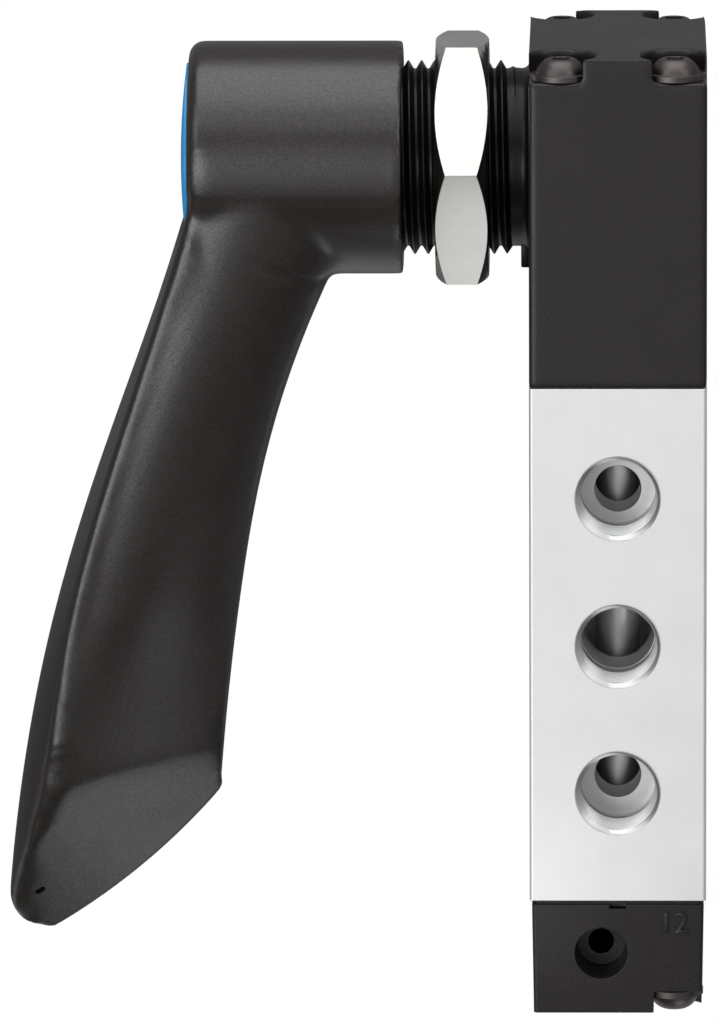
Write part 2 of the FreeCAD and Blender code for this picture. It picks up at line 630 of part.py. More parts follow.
def lever_hub():
    """The round hub with its softened front rim."""
    inset = HUB_ROUND * (1 - math.sqrt(0.5))
    rim_start = Vector(HUB_FRONT, 0, HUB_RADIUS - HUB_ROUND)
    rim_end = Vector(HUB_FRONT + HUB_ROUND, 0, HUB_RADIUS)
    edges = [
        Part.makeLine(Vector(HUB_FRONT, 0, 0), rim_start),
        Part.Arc(rim_start, Vector(HUB_FRONT + inset, 0, HUB_RADIUS - inset), rim_end).toShape(),
        Part.makeLine(rim_end, Vector(HUB_BACK, 0, HUB_RADIUS)),
        Part.makeLine(Vector(HUB_BACK, 0, HUB_RADIUS), Vector(HUB_BACK, 0, 0)),
        Part.makeLine(Vector(HUB_BACK, 0, 0), Vector(HUB_FRONT, 0, 0)),
    ]
    return Part.Face(Part.Wire(edges)).revolve(Vector(0, 0, 0), Vector(1, 0, 0), 360)


def square_bar(flats, x0, x1):
    """A square bar along X, on the shaft's axis."""
    return box(x0, x1, -flats / 2, flats / 2, -flats / 2, flats / 2)


def tip_slot():
    """The small blind slot near the tip, square to the front bevel and in line with the handle."""
    radial = Vector(TIP_SLOT_X - KEEL_CENTRE[0], 0, -TIP_SLOT_DROP - KEEL_CENTRE[1])
    mouth = Vector(TIP_SLOT_X, (radial.Length - KEEL_RADIUS) / BEVEL_STEEPNESS, -TIP_SLOT_DROP)
    radial.normalize()
    out = (radial - Vector(0, BEVEL_STEEPNESS, 0)).normalize()
    side = Vector(-radial.z, 0, radial.x) * ((TIP_SLOT_LENGTH - TIP_SLOT_WIDTH) / 2)
    start = mouth - out * TIP_SLOT_DEPTH
    depth = TIP_SLOT_DEPTH + PAST
    ends = [Part.makeCylinder(TIP_SLOT_WIDTH / 2, depth, start + side * way, out) for way in (-1, 1)]
    half = out.cross(side).normalize() * (TIP_SLOT_WIDTH / 2)
    corners = [start - side - half, start + side - half, start + side + half, start - side + half]
    middle = Part.Face(Part.makePolygon(corners + corners[:1])).extrude(out * depth)
    return middle.fuse(ends)


def lever_handle():
    """Moulded lever: hub, grip, cover seat, screw well, square hole and skirt."""
    lever = lever_hub().fuse(handle_grip())
    cuts = [
        rod_x(SKIRT_RADIUS, WEB_BACK, HUB_BACK + PAST),
        rod_x(COVER_RADIUS + COVER_GAP, HUB_FRONT - 5 * PAST, COVER_SEAT),
        rod_x(SCREW_WELL_RADIUS, HUB_FRONT, WEB_FRONT),
        square_bar(SHAFT_SQUARE + 2 * SQUARE_FIT, WEB_FRONT - PAST, WEB_BACK + PAST),
        tip_slot(),
    ]
    return lever.cut(cuts)


def lever_cap():
    """Coloured cover with a shallow dome and a snap skirt."""
    rim = COVER_RADIUS - COVER_GAP
    edge = Vector(HUB_FRONT - COVER_PROUD, 0, rim)
    crown = Vector(edge.x - COVER_DOME, 0, 0)
    sphere = (rim * rim + COVER_DOME * COVER_DOME) / (2 * COVER_DOME)
    half_turn = math.asin(rim / sphere) / 2
    middle = Vector(crown.x + sphere * (1 - math.cos(half_turn)), 0, sphere * math.sin(half_turn))
    skirt_outer = SCREW_WELL_RADIUS - COVER_GAP
    skirt_inner = skirt_outer - COVER_SKIRT_WALL
    points = [
        edge,
        Vector(COVER_SEAT - SCREW_FIT, 0, rim),
        Vector(COVER_SEAT - SCREW_FIT, 0, skirt_outer),
        Vector(COVER_SEAT + COVER_SKIRT_DEPTH, 0, skirt_outer),
        Vector(COVER_SEAT + COVER_SKIRT_DEPTH, 0, skirt_inner),
        Vector(COVER_SEAT - SCREW_FIT, 0, skirt_inner),
        Vector(COVER_SEAT - SCREW_FIT, 0, 0),
        crown,
    ]
    edges = [Part.makeLine(a, b) for a, b in zip(points, points[1:])]
    edges.append(Part.Arc(crown, middle, edge).toShape())
    return Part.Face(Part.Wire(edges)).revolve(Vector(0, 0, 0), Vector(1, 0, 0), 360)


def drive_shaft():
    """Shaft with the square that carries the lever and the disc that carries the crank pin."""
    shaft = rod_x(SHAFT_RADIUS, WEB_BACK + SCREW_FIT, 0)
    shaft = shaft.fuse(square_bar(SHAFT_SQUARE, SHAFT_END, WEB_BACK + PAST))
    shaft = shaft.fuse(rod_x(DISC_RADIUS, 0, DISC_THICKNESS))
    groove_half = SHAFT_SEAL_WIDTH / 2 + SEAL_GAP
    seat = rod_x(SHAFT_RADIUS + PAST, SHAFT_SEAL_X - groove_half, SHAFT_SEAL_X + groove_half)
    seat = seat.cut(rod_x(SHAFT_RADIUS - SEAL_DEPTH, -NECK_LENGTH, 0))
    tapped = rod_x(LEVER_SCREW_RADIUS + SCREW_FIT, SHAFT_END - PAST, WEB_FRONT + LEVER_SCREW_LENGTH)
    pin_radius = CRANK_PIN_RADIUS + SCREW_FIT
    pin_seat = rod_x(pin_radius, DISC_THICKNESS - CRANK_PIN_SEAT, DISC_THICKNESS + PAST, CRANK_RADIUS)
    return shaft.cut([seat, tapped, pin_seat])


def crank_pin():
    """Hardened pin of the crank, pressed into the disc."""
    return rod_x(CRANK_PIN_RADIUS, DISC_THICKNESS - CRANK_PIN_SEAT + SCREW_FIT, CRANK_PIN_REACH, CRANK_RADIUS)


def ring_x(outer, inner, x0, x1):
    """A flat ring round the shaft's axis."""
    return rod_x(outer, x0, x1).cut(rod_x(inner, x0 - PAST, x1 + PAST))


def shaft_seal():
    """Sealing ring in the shaft's groove."""
    half = SHAFT_SEAL_WIDTH / 2
    outer = SHAFT_RADIUS + BUSH_GAP - SEAL_GAP
    inner = SHAFT_RADIUS - SEAL_DEPTH + SEAL_GAP
    return ring_x(outer, inner, SHAFT_SEAL_X - half, SHAFT_SEAL_X + half)


def thrust_washer():
    """Slippery washer between the neck's end and the lever's web."""
    start = WEB_BACK + THRUST_GAP
    return ring_x(THRUST_WASHER_RADIUS, SHAFT_RADIUS + BUSH_GAP, start, start + THRUST_WASHER_THICKNESS)


def lever_washer():
    """Washer under the lever screw's head."""
    return ring_x(WASHER_RADIUS, LEVER_SCREW_RADIUS + RUNNING_GAP, WEB_FRONT - WASHER_THICKNESS, WEB_FRONT)


def lever_screw():
    """Socket head screw that holds the lever on the shaft."""
    seat = WEB_FRONT - WASHER_THICKNESS
    top = seat - LEVER_SCREW_HEAD_HEIGHT
    head = rod_x(LEVER_SCREW_HEAD_RADIUS, top, seat)
    shank = rod_x(LEVER_SCREW_RADIUS, seat, seat + LEVER_SCREW_LENGTH)
    socket = hexagon(LEVER_SCREW_SOCKET, LEVER_SCREW_HEAD_HEIGHT / 2, Vector(top, 0, 0), Vector(1, 0, 0))
    return head.fuse(shank).cut(socket)


def spool_yoke():
    """Carriage that turns the crank pin's arc into the spool's travel."""
    low_x = MID_X - YOKE_HALF_X
    high_x = MID_X + YOKE_HALF_X
    yoke = box(low_x, high_x, -YOKE_HALF_Y, YOKE_HALF_Y, YOKE_BOTTOM, YOKE_TOP)
    yoke = rounded_upright(yoke, YOKE_ROUND)
    pin_low = CRANK_RADIUS * math.cos(SWING)
    half = CRANK_PIN_RADIUS + SLOT_GAP
    slot = box(low_x - PAST, CRANK_PIN_REACH + PAST / 2, pin_low, CRANK_RADIUS, -half, half)
    ends = [rod_x(half, low_x - PAST, CRANK_PIN_REACH + PAST / 2, y) for y in (pin_low, CRANK_RADIUS)]
    seat = rod_z(STEM_RADIUS + SCREW_FIT, YOKE_BOTTOM - PAST, YOKE_BOTTOM + STEM_SEAT_DEPTH, MID_X, 0)
    cross = rod_y(YOKE_PIN_RADIUS + SCREW_FIT, -FAR, FAR, MID_X, YOKE_BOTTOM + STEM_SEAT_DEPTH / 2)
    detent = rod_y(BALL_RADIUS + BALL_BORE_GAP, -FAR, FAR, MID_X, -DETENT_DROP)
    return yoke.cut([slot.fuse(ends), seat, cross, detent])


def land_spans():
    """Low and high ends of the spool's four lands, from the bottom up."""
    reach = GROOVE_WIDTH / 2 + TRAVEL + LAND_OVERLAP
    bottom = FRONT_PORTS_Z[2] - reach
    top = FRONT_PORTS_Z[0] + reach
    spans = [(bottom - END_LAND_LENGTH, bottom), (top, top + END_LAND_LENGTH)]
    spans += [(z - LAND_LENGTH / 2, z + LAND_LENGTH / 2) for z in REAR_PORTS_Z]
    return sorted(spans)


def seal_heights():
    """Middle heights of the sealing rings: one on each end land, two on each working land."""
    spans = land_spans()
    heights = [sum(spans[0]) / 2, sum(spans[3]) / 2]
    for low, high in spans[1:3]:
        heights += [low + SEAL_WIDTH, high - SEAL_WIDTH]
    return sorted(heights)


def ring_z(outer, inner, z0, z1):
    """A flat ring round the spool's axis."""
    return rod_z(outer, z0, z1, MID_X, 0).cut(rod_z(inner, z0 - PAST, z1 + PAST, MID_X, 0))


def spool():
    """The spool: lands, waists, seal grooves and the stem held by the yoke."""
    spans = land_spans()
    stem_top = YOKE_BOTTOM + STEM_SEAT_DEPTH - RUNNING_GAP
    bar = rod_z(SPOOL_WAIST_RADIUS, spans[0][0], spans[3][1], MID_X, 0)
    bar = bar.fuse([rod_z(LAND_RADIUS, low, high, MID_X, 0) for low, high in spans])
    bar = bar.fuse(rod_z(STEM_RADIUS, spans[3][1], stem_top, MID_X, 0))
    half = SEAL_WIDTH / 2 + SEAL_GAP
    grooves = [ring_z(LAND_RADIUS + PAST, LAND_RADIUS - SEAL_DEPTH, z - half, z + half) for z in seal_heights()]
    cross = rod_y(YOKE_PIN_RADIUS + SCREW_FIT, -FAR, FAR, MID_X, YOKE_BOTTOM + STEM_SEAT_DEPTH / 2)
    return bar.cut(grooves + [cross])


def spool_seals():
    """Sealing rings of the spool."""
    outer = SPOOL_BORE_RADIUS - SEAL_GAP
    inner = LAND_RADIUS - SEAL_DEPTH + SEAL_GAP
    half = SEAL_WIDTH / 2
    return group([ring_z(outer, inner, z - half, z + half) for z in seal_heights()])


def yoke_pin():
    """Cross pin that ties the spool to the yoke."""
    reach = YOKE_HALF_Y - YOKE_GAP
    return rod_y(YOKE_PIN_RADIUS, -reach, reach, MID_X, YOKE_BOTTOM + STEM_SEAT_DEPTH / 2)


def detent_balls():
    """Two balls that click into the grooves of the cavity walls."""
    return group([Part.makeSphere(BALL_RADIUS, Vector(MID_X, side * BALL_Y, -DETENT_DROP)) for side in (-1, 1)])


def detent_spring():
    """Coil spring that presses the balls apart."""
    coil = BALL_RADIUS - SPRING_WIRE_RADIUS - RUNNING_GAP
    touch = BALL_RADIUS + SPRING_WIRE_RADIUS + SEAL_GAP
    length = 2 * (BALL_Y - math.sqrt(touch * touch - coil * coil))
    helix = Part.makeHelix(length / SPRING_TURNS, length, coil)
    wire = Part.Wire([Part.makeCircle(SPRING_WIRE_RADIUS, Vector(coil, 0, 0), Vector(0, 1, 0))])
    spring = Part.Wire(helix.Edges).makePipeShell([wire], True, True)
    turn = FreeCAD.Rotation(Vector(0, 0, 1), Vector(0, 1, 0))
    spring.Placement = FreeCAD.Placement(Vector(MID_X, -length / 2, -DETENT_DROP), turn)
    return spring


NODES = [
    upper_housing,
    housing_gasket,
    valve_body,
    bottom_gasket,
    bottom_cap,
    housing_screws,
    cap_screws,
    shaft_bush,
    bush_circlip,
    panel_nut,
    lever_handle,
    lever_cap,
    lever_screw,
    lever_washer,
    drive_shaft,
    crank_pin,
    shaft_seal,
    thrust_washer,
    spool_yoke,
    spool,
    spool_seals,
    yoke_pin,
    detent_balls,
    detent_spring,
]

for make in NODES:
    shape = make()
    print(f"{make.__name__}: {len(shape.Solids)} solid(s), {shape.Volume:.1f} mm3, valid {shape.isValid()}")
    shape.exportStep(f"parts/{make.__name__}.step")
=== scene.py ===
"""Studio scene of a panel-mounted hand lever air valve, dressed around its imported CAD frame.

Lengths in the classes are millimetres, in the valve's own frame: the origin is on the neck axis at the
panel seat, +X runs into the block, +Y away from the port side and +Z up. Blender works in metres.
"""

from __future__ import annotations

import json
import logging
import math
from dataclasses import dataclass, field
from enum import Enum
from typing import Iterable

import bmesh
import bpy
from mathutils import Matrix, Vector
from mathutils.kdtree import KDTree

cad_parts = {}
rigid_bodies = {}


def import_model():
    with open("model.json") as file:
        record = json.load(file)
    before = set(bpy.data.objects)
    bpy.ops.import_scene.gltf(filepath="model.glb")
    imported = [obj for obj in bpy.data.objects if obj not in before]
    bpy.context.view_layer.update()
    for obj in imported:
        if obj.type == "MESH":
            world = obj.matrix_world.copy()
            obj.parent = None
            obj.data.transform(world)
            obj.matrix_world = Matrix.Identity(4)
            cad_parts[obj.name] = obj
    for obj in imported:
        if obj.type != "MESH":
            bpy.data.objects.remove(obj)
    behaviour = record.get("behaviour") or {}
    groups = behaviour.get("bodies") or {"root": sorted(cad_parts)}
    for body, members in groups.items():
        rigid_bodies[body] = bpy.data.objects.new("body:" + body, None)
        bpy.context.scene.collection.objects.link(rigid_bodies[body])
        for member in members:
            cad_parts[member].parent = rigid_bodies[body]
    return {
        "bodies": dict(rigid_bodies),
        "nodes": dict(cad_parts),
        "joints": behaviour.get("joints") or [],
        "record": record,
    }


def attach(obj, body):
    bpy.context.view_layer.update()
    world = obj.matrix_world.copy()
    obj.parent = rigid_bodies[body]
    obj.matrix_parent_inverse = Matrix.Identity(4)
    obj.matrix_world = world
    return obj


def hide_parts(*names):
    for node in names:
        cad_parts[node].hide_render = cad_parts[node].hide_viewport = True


MM = 0.001
TURN = 2 * math.pi
LOG = logging.getLogger("lever_valve")

# Vertices closer than this many millimetres are one
MESH_WELD = 0.0005
THREAD_WELD = 0.002
# Most values of a noise texture lie between these
PATCH_RANGE = (0.3, 0.7)
GRAIN_RANGE = (0.32, 0.68)

Point = tuple[float, float, float]
Socket = bpy.types.NodeSocket


class Body(Enum):
    """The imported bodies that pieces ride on."""

    BLOCK = "valve_block"
    LEVER = "lever"
    SLIDER = "slider"
    NUT = "nut"


class Slot(Enum):
    """The record's material slots."""

    BLACK_MOULDING = "black_moulding"
    LEVER_PLASTIC = "lever_plastic"
    BLUE_PLASTIC = "blue_plastic"
    ALUMINIUM = "machined_aluminium"
    PLATED_STEEL = "plated_steel"
    BLACK_STEEL = "blackened_steel"
    POLISHED_STEEL = "polished_steel"
    SPRING_STEEL = "spring_steel"
    BRONZE = "bearing_bronze"
    WHITE_PLASTIC = "white_plastic"
    RUBBER = "seal_rubber"


def clamp(share: float) -> float:
    """Keep a share between 0 and 1."""
    return min(1.0, max(0.0, share))


def linear(hex_colour: str) -> tuple[float, float, float, float]:
    """Turn an sRGB colour into the linear values that shaders take.

    Args:
        hex_colour: The colour as '#rrggbb'.

    Returns:
        Linear red, green, blue and an alpha of 1.
    """
    channels = [int(hex_colour[i : i + 2], 16) / 255 for i in (1, 3, 5)]
    red, green, blue = [c / 12.92 if c <= 0.04045 else ((c + 0.055) / 1.055) ** 2.4 for c in channels]
    return red, green, blue, 1.0


def add_object(name: str, data: bpy.types.ID) -> bpy.types.Object:
    """Put a new object into the scene.

    Args:
        name: The object's name.
        data: Its mesh, text, lamp or camera.

    Returns:
        The object.
    """
    made = bpy.data.objects.new(name, data)
    bpy.context.scene.collection.objects.link(made)
    return made


def add_shape(name: str, mesh: bmesh.types.BMesh) -> bpy.types.Object:
    """Put a bmesh into the scene as an object.

    Args:
        name: The name of the object and its mesh.
        mesh: The shape in metres. It is freed here.

    Returns:
        The object.
    """
    data = bpy.data.meshes.new(name)
    mesh.to_mesh(data)
    mesh.free()
    return add_object(name, data)


def add_node(
    tree: bpy.types.NodeTree, kind: str, links: dict[str | int, Socket] | None = None, **values
) -> bpy.types.Node:
    """Add one shader node with its settings and links.

    Args:
        tree: The material's node tree.
        kind: The node's Blender type name.
        links: Sockets to connect, by the input's name or number.
        **values: Node properties, or input values where the name is an input.

    Returns:
        The new node.
    """
    node = tree.nodes.new(kind)
    for name, value in values.items():
        if hasattr(node, name):
            setattr(node, name, value)
    for name, value in values.items():
        if not hasattr(node, name):
            node.inputs[name.replace("_", " ")].default_value = value
    for name, socket in (links or {}).items():
        tree.links.new(socket, node.inputs[name])
    return node


@dataclass(frozen=True)
class Finish:
    """A surface finish: what it is made of and how its surface was made."""

    name: str
    slot: Slot
    colour: str
    roughness: float
    metallic: float = 0.0
    specular: float = 0.5
    grain_mm: float = 0.25
    grain_depth: float = 0.1
    grain_height_mm: float = 0.02
    patch_mm: float = 6.0
    patch_change: float = 0.06
    sparkle: float = 0.0

    def material(self) -> bpy.types.Material:
        """Build the finish as a node material, once.

        Returns:
            The material, with colour variation, uneven gloss and a fine grain that glints a little.
        """
        made = bpy.data.materials.get(self.name)
        if made:
            return made
        made = bpy.data.materials.new(self.name)
        made.use_nodes = True
        tree = made.node_tree
        tree.nodes.clear()
        place = add_node(tree, "ShaderNodeTexCoord").outputs["Object"]
        patches = add_node(
            tree, "ShaderNodeTexNoise", {"Vector": place}, Scale=1 / (self.patch_mm * MM), Detail=3.0, Roughness=0.55
        )
        grain = add_node(
            tree, "ShaderNodeTexNoise", {"Vector": place}, Scale=1 / (self.grain_mm * MM), Detail=2.0, Roughness=0.6
        )
        tint = self.tinted(tree, patches.outputs["Fac"])
        gloss = add_node(
            tree,
            "ShaderNodeMapRange",
            {"Value": patches.outputs["Fac"]},
            From_Min=PATCH_RANGE[0],
            From_Max=PATCH_RANGE[1],
            To_Min=self.roughness * (1 - self.patch_change),
            To_Max=self.roughness * (1 + self.patch_change),
        )
        bump = add_node(
            tree,
            "ShaderNodeBump",
            {"Height": grain.outputs["Fac"]},
            Strength=self.grain_depth,
            Distance=self.grain_height_mm * MM,
        )
        glints = add_node(
            tree,
            "ShaderNodeMapRange",
            {"Value": grain.outputs["Fac"]},
            From_Min=GRAIN_RANGE[0],
            From_Max=GRAIN_RANGE[1],
            To_Min=self.specular * (1 - self.sparkle),
            To_Max=self.specular * (1 + self.sparkle),
        )
        shader = add_node(
            tree,
            "ShaderNodeBsdfPrincipled",
            {
                "Base Color": tint,
                "Roughness": gloss.outputs["Result"],
                "Specular IOR Level": glints.outputs["Result"],
                "Normal": bump.outputs["Normal"],
            },
            Metallic=self.metallic,
        )
        add_node(tree, "ShaderNodeOutputMaterial", {"Surface": shader.outputs["BSDF"]})
        return made

    def tinted(self, tree: bpy.types.NodeTree, patches: Socket) -> Socket:
        """Vary the colour a little from patch to patch.

        Args:
            tree: The material's node tree.
            patches: The slow noise that places the patches.

        Returns:
            The colour socket.
        """
        ramp = add_node(tree, "ShaderNodeValToRGB", {"Fac": patches})
        base = linear(self.colour)
        for element, place, change in zip(ramp.color_ramp.elements, PATCH_RANGE, (-1, 1)):
            element.position = place
            level = 1 + change * self.patch_change
            element.color = (*(channel * level for channel in base[:3]), 1.0)
        return ramp.outputs["Color"]


FINISHES = {
    finish.slot: finish
    for finish in (
        # Glass-filled nylon from a spark-eroded mould: near black, even satin with a very fine grain
        Finish(
            "glass_filled_nylon",
            Slot.BLACK_MOULDING,
            "#171412",
            0.37,
            specular=0.36,
            grain_mm=0.24,
            grain_depth=0.4,
            grain_height_mm=0.03,
            sparkle=0.16,
        ),
        # The lever's nylon is moulded in a smoother tool, so its highlights run wide and even
        Finish(
            "smooth_moulded_nylon",
            Slot.LEVER_PLASTIC,
            "#181411",
            0.32,
            specular=0.66,
            grain_mm=0.24,
            grain_depth=0.35,
            grain_height_mm=0.03,
            sparkle=0.2,
        ),
        # Acetal cover, coloured through, with the soft gloss of a polished insert
        Finish("blue_acetal", Slot.BLUE_PLASTIC, "#1694d6", 0.38, grain_mm=0.3, grain_depth=0.05, patch_change=0.02),
        # Natural anodised aluminium, blasted before anodising: pale, even, without brush lines
        Finish(
            "blasted_anodised_aluminium",
            Slot.ALUMINIUM,
            "#e7e7e8",
            0.54,
            metallic=1.0,
            grain_mm=0.2,
            grain_depth=0.3,
            patch_change=0.025,
        ),
        # Bright zinc plate over turned steel: clear reflections with a slight ripple
        Finish(
            "bright_zinc_plate",
            Slot.PLATED_STEEL,
            "#dddcd9",
            0.20,
            metallic=1.0,
            grain_mm=0.8,
            grain_depth=0.06,
            patch_change=0.08,
        ),
        # Heat-blackened screw steel: brownish grey, oiled
        Finish(
            "blackened_screw_steel",
            Slot.BLACK_STEEL,
            "#565050",
            0.42,
            metallic=1.0,
            grain_mm=0.25,
            grain_depth=0.12,
            patch_change=0.12,
        ),
        # Ground and polished spool steel: sharp bright streaks
        Finish("polished_steel", Slot.POLISHED_STEEL, "#c8c9ca", 0.08, metallic=1.0, grain_depth=0.03),
        # Drawn spring wire, lightly oiled
        Finish("drawn_spring_wire", Slot.SPRING_STEEL, "#8d8b87", 0.3, metallic=1.0, grain_depth=0.08),
        # Sintered bronze bearing: dull gold, slightly porous
        Finish("sintered_bronze", Slot.BRONZE, "#b08a4f", 0.46, metallic=1.0, grain_mm=0.3, grain_depth=0.3),
        # Turned acetal washer and carriage: milky white
        Finish("white_acetal", Slot.WHITE_PLASTIC, "#dcdad4", 0.45, grain_mm=0.3, grain_depth=0.08),
        # Nitrile rubber: soft matt black
        Finish("nitrile_rubber", Slot.RUBBER, "#1b1a19", 0.68, grain_mm=0.4, grain_depth=0.3),
    )
}

# The neck's thread stands between nut and hub; its colour and gloss, darker and weaker than the housing's, are
# painted shade for the gap there
SHADED_THREAD_NYLON = Finish("threaded_nylon_painted_shade", Slot.BLACK_MOULDING, "#0b0a09", 0.30, specular=0.17, grain_depth=0.2)

# Tapped bores keep the cutter's fine marks and a lower roughness; their colour, darker than the body's, is painted
# shade inside the ports
SHADED_TAPPED_ALUMINIUM = Finish(
    "tapped_aluminium_painted_shade", Slot.ALUMINIUM, "#c4c5c6", 0.36, metallic=1.0, grain_mm=0.15, grain_depth=0.3
)


@dataclass
class Workshop:
    """What every sub-assembly needs: the frame, and how a finished piece is handed over."""

    frame: dict
    pieces: list[str] = field(default_factory=list)

    def node(self, name: str) -> bpy.types.Object:
        """The CAD object of one node."""
        return self.frame["nodes"][name]

    def hand_over(
        self,
        mesh: bmesh.types.BMesh,
        name: str,
        finish: Finish,
        body: Body,
        replaces: Iterable[str] = (),
    ) -> bpy.types.Object:
        """Turn a finished bmesh into a piece that rides on its body.

        Args:
            mesh: The piece in metres, in the valve's frame. It is freed here.
            name: The piece's name.
            finish: Its surface, which also names the record's slot.
            body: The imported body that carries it.
            replaces: CAD nodes that the piece stands for.

        Returns:
            The new object.
        """
        piece = add_shape(name, mesh)
        piece.data.materials.append(finish.material())
        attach(piece, body.value)
        if replaces:
            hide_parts(*replaces)
        self.pieces.append(name)
        LOG.info("piece %s: %d faces, rides on %s", name, len(piece.data.polygons), body.value)
        return piece

    def merged(self, name: str, flat_angle: float = 0.2) -> bmesh.types.BMesh:
        """A copy of a CAD node's mesh with its loose triangles joined.

        Args:
            name: The CAD node.
            flat_angle: Faces that turn less than this many degrees become one.

        Returns:
            The joined mesh.
        """
        mesh = bmesh.new()
        mesh.from_mesh(self.node(name).data)
        bmesh.ops.remove_doubles(mesh, verts=mesh.verts, dist=MESH_WELD * MM)
        if flat_angle:
            bmesh.ops.dissolve_limit(mesh, angle_limit=math.radians(flat_angle), verts=mesh.verts, edges=mesh.edges)
        return mesh


def smooth(piece: bpy.types.Object, angle: float = 30.0) -> None:
    """Shade a piece smooth, with edges sharper than an angle kept crisp.

    Args:
        piece: The object to shade.
        angle: The angle in degrees.
    """
    piece.data.shade_smooth()
    piece.data.set_sharp_from_angle(angle=math.radians(angle))


def soften(piece: bpy.types.Object, width: float, angle: float = 35.0, segments: int = 3) -> None:
    """Round a piece's sharp edges and keep its flat faces flat in the shading.

    Args:
        piece: The object to round.
        width: The rounding in millimetres.
        angle: Edges sharper than this many degrees are rounded.
        segments: Facets across the rounding.
    """
    bevel = piece.modifiers.new("edge_rounding", "BEVEL")
    bevel.width = width * MM
    bevel.segments = segments
    bevel.limit_method = "ANGLE"
    bevel.angle_limit = math.radians(angle)
    bevel.miter_outer = "MITER_ARC"
    weighted = piece.modifiers.new("flat_faces_stay_flat", "WEIGHTED_NORMAL")
    weighted.keep_sharp = True
    weighted.weight = 100


def polyline(mesh: bmesh.types.BMesh, points: Iterable[Point]) -> list[bmesh.types.BMEdge]:
    """Join points, given in millimetres, with edges.

    Args:
        mesh: The mesh that takes them.
        points: The points in order.

    Returns:
        The new edges.
    """
    verts = [mesh.verts.new(Vector(point) * MM) for point in points]
    return [mesh.edges.new(pair) for pair in zip(verts, verts[1:])]


def screw_surface(
    points: Iterable[Point], axis: Point, centre: Point, pitch: float, steps: int
) -> bmesh.types.BMesh:
    """Sweep a thread's section once round its axis while it climbs one pitch.

    Args:
        points: The section over all its turns, in millimetres.
        axis: The thread's axis.
        centre: A point on the axis, in millimetres.
        pitch: The climb of one turn, in millimetres.
        steps: Facets round one turn.

    Returns:
        The thread's surface, with its turns joined.
    """
    mesh = bmesh.new()
    edges = polyline(mesh, points)
    bmesh.ops.spin(
        mesh,
        geom=[*mesh.verts, *edges],
        cent=Vector(centre) * MM,
        axis=axis,
        dvec=Vector(axis) * pitch * MM / steps,
        angle=TURN,
        steps=steps,
    )
    bmesh.ops.remove_doubles(mesh, verts=mesh.verts, dist=THREAD_WELD * MM)
    return mesh


def trim(mesh: bmesh.types.BMesh, place: Point, normal: Point) -> list[bmesh.types.BMEdge]:
    """Cut off what lies on a plane's normal side.

    Args:
        mesh: The mesh to cut.
        place: A point of the plane, in millimetres.
        normal: The side that goes.

    Returns:
        The edges of the cut.
    """
    cut = bmesh.ops.bisect_plane(
        mesh,
        geom=[*mesh.verts, *mesh.edges, *mesh.faces],
        plane_co=Vector(place) * MM,
        plane_no=normal,
        clear_outer=True,
    )
    return [item for item in cut["geom_cut"] if isinstance(item, bmesh.types.BMEdge)]


def reshape_ring(
    mesh: bmesh.types.BMesh, edges: list[bmesh.types.BMEdge], axis: int, centre: Point, radius: float, place: float
) -> list[bmesh.types.BMEdge]:
    """Extrude an open ring to a new radius and place along its axis.

    Args:
        mesh: The mesh that holds the ring.
        edges: The ring's edges.
        axis: 0 for X or 1 for Y.
        centre: A point of the axis, in millimetres.
        radius: The new radius in millimetres.
        place: The new place along the axis in millimetres.

    Returns:
        The new ring's edges.
    """
    grown = bmesh.ops.extrude_edge_only(mesh, edges=edges)["geom"]
    middle = Vector(centre) * MM
    for vert in (item for item in grown if isinstance(item, bmesh.types.BMVert)):
        arm = vert.co - middle
        arm[axis] = 0.0
        vert.co = middle + arm.normalized() * radius * MM
        vert.co[axis] = place * MM
    return [item for item in grown if isinstance(item, bmesh.types.BMEdge) and item.is_boundary]


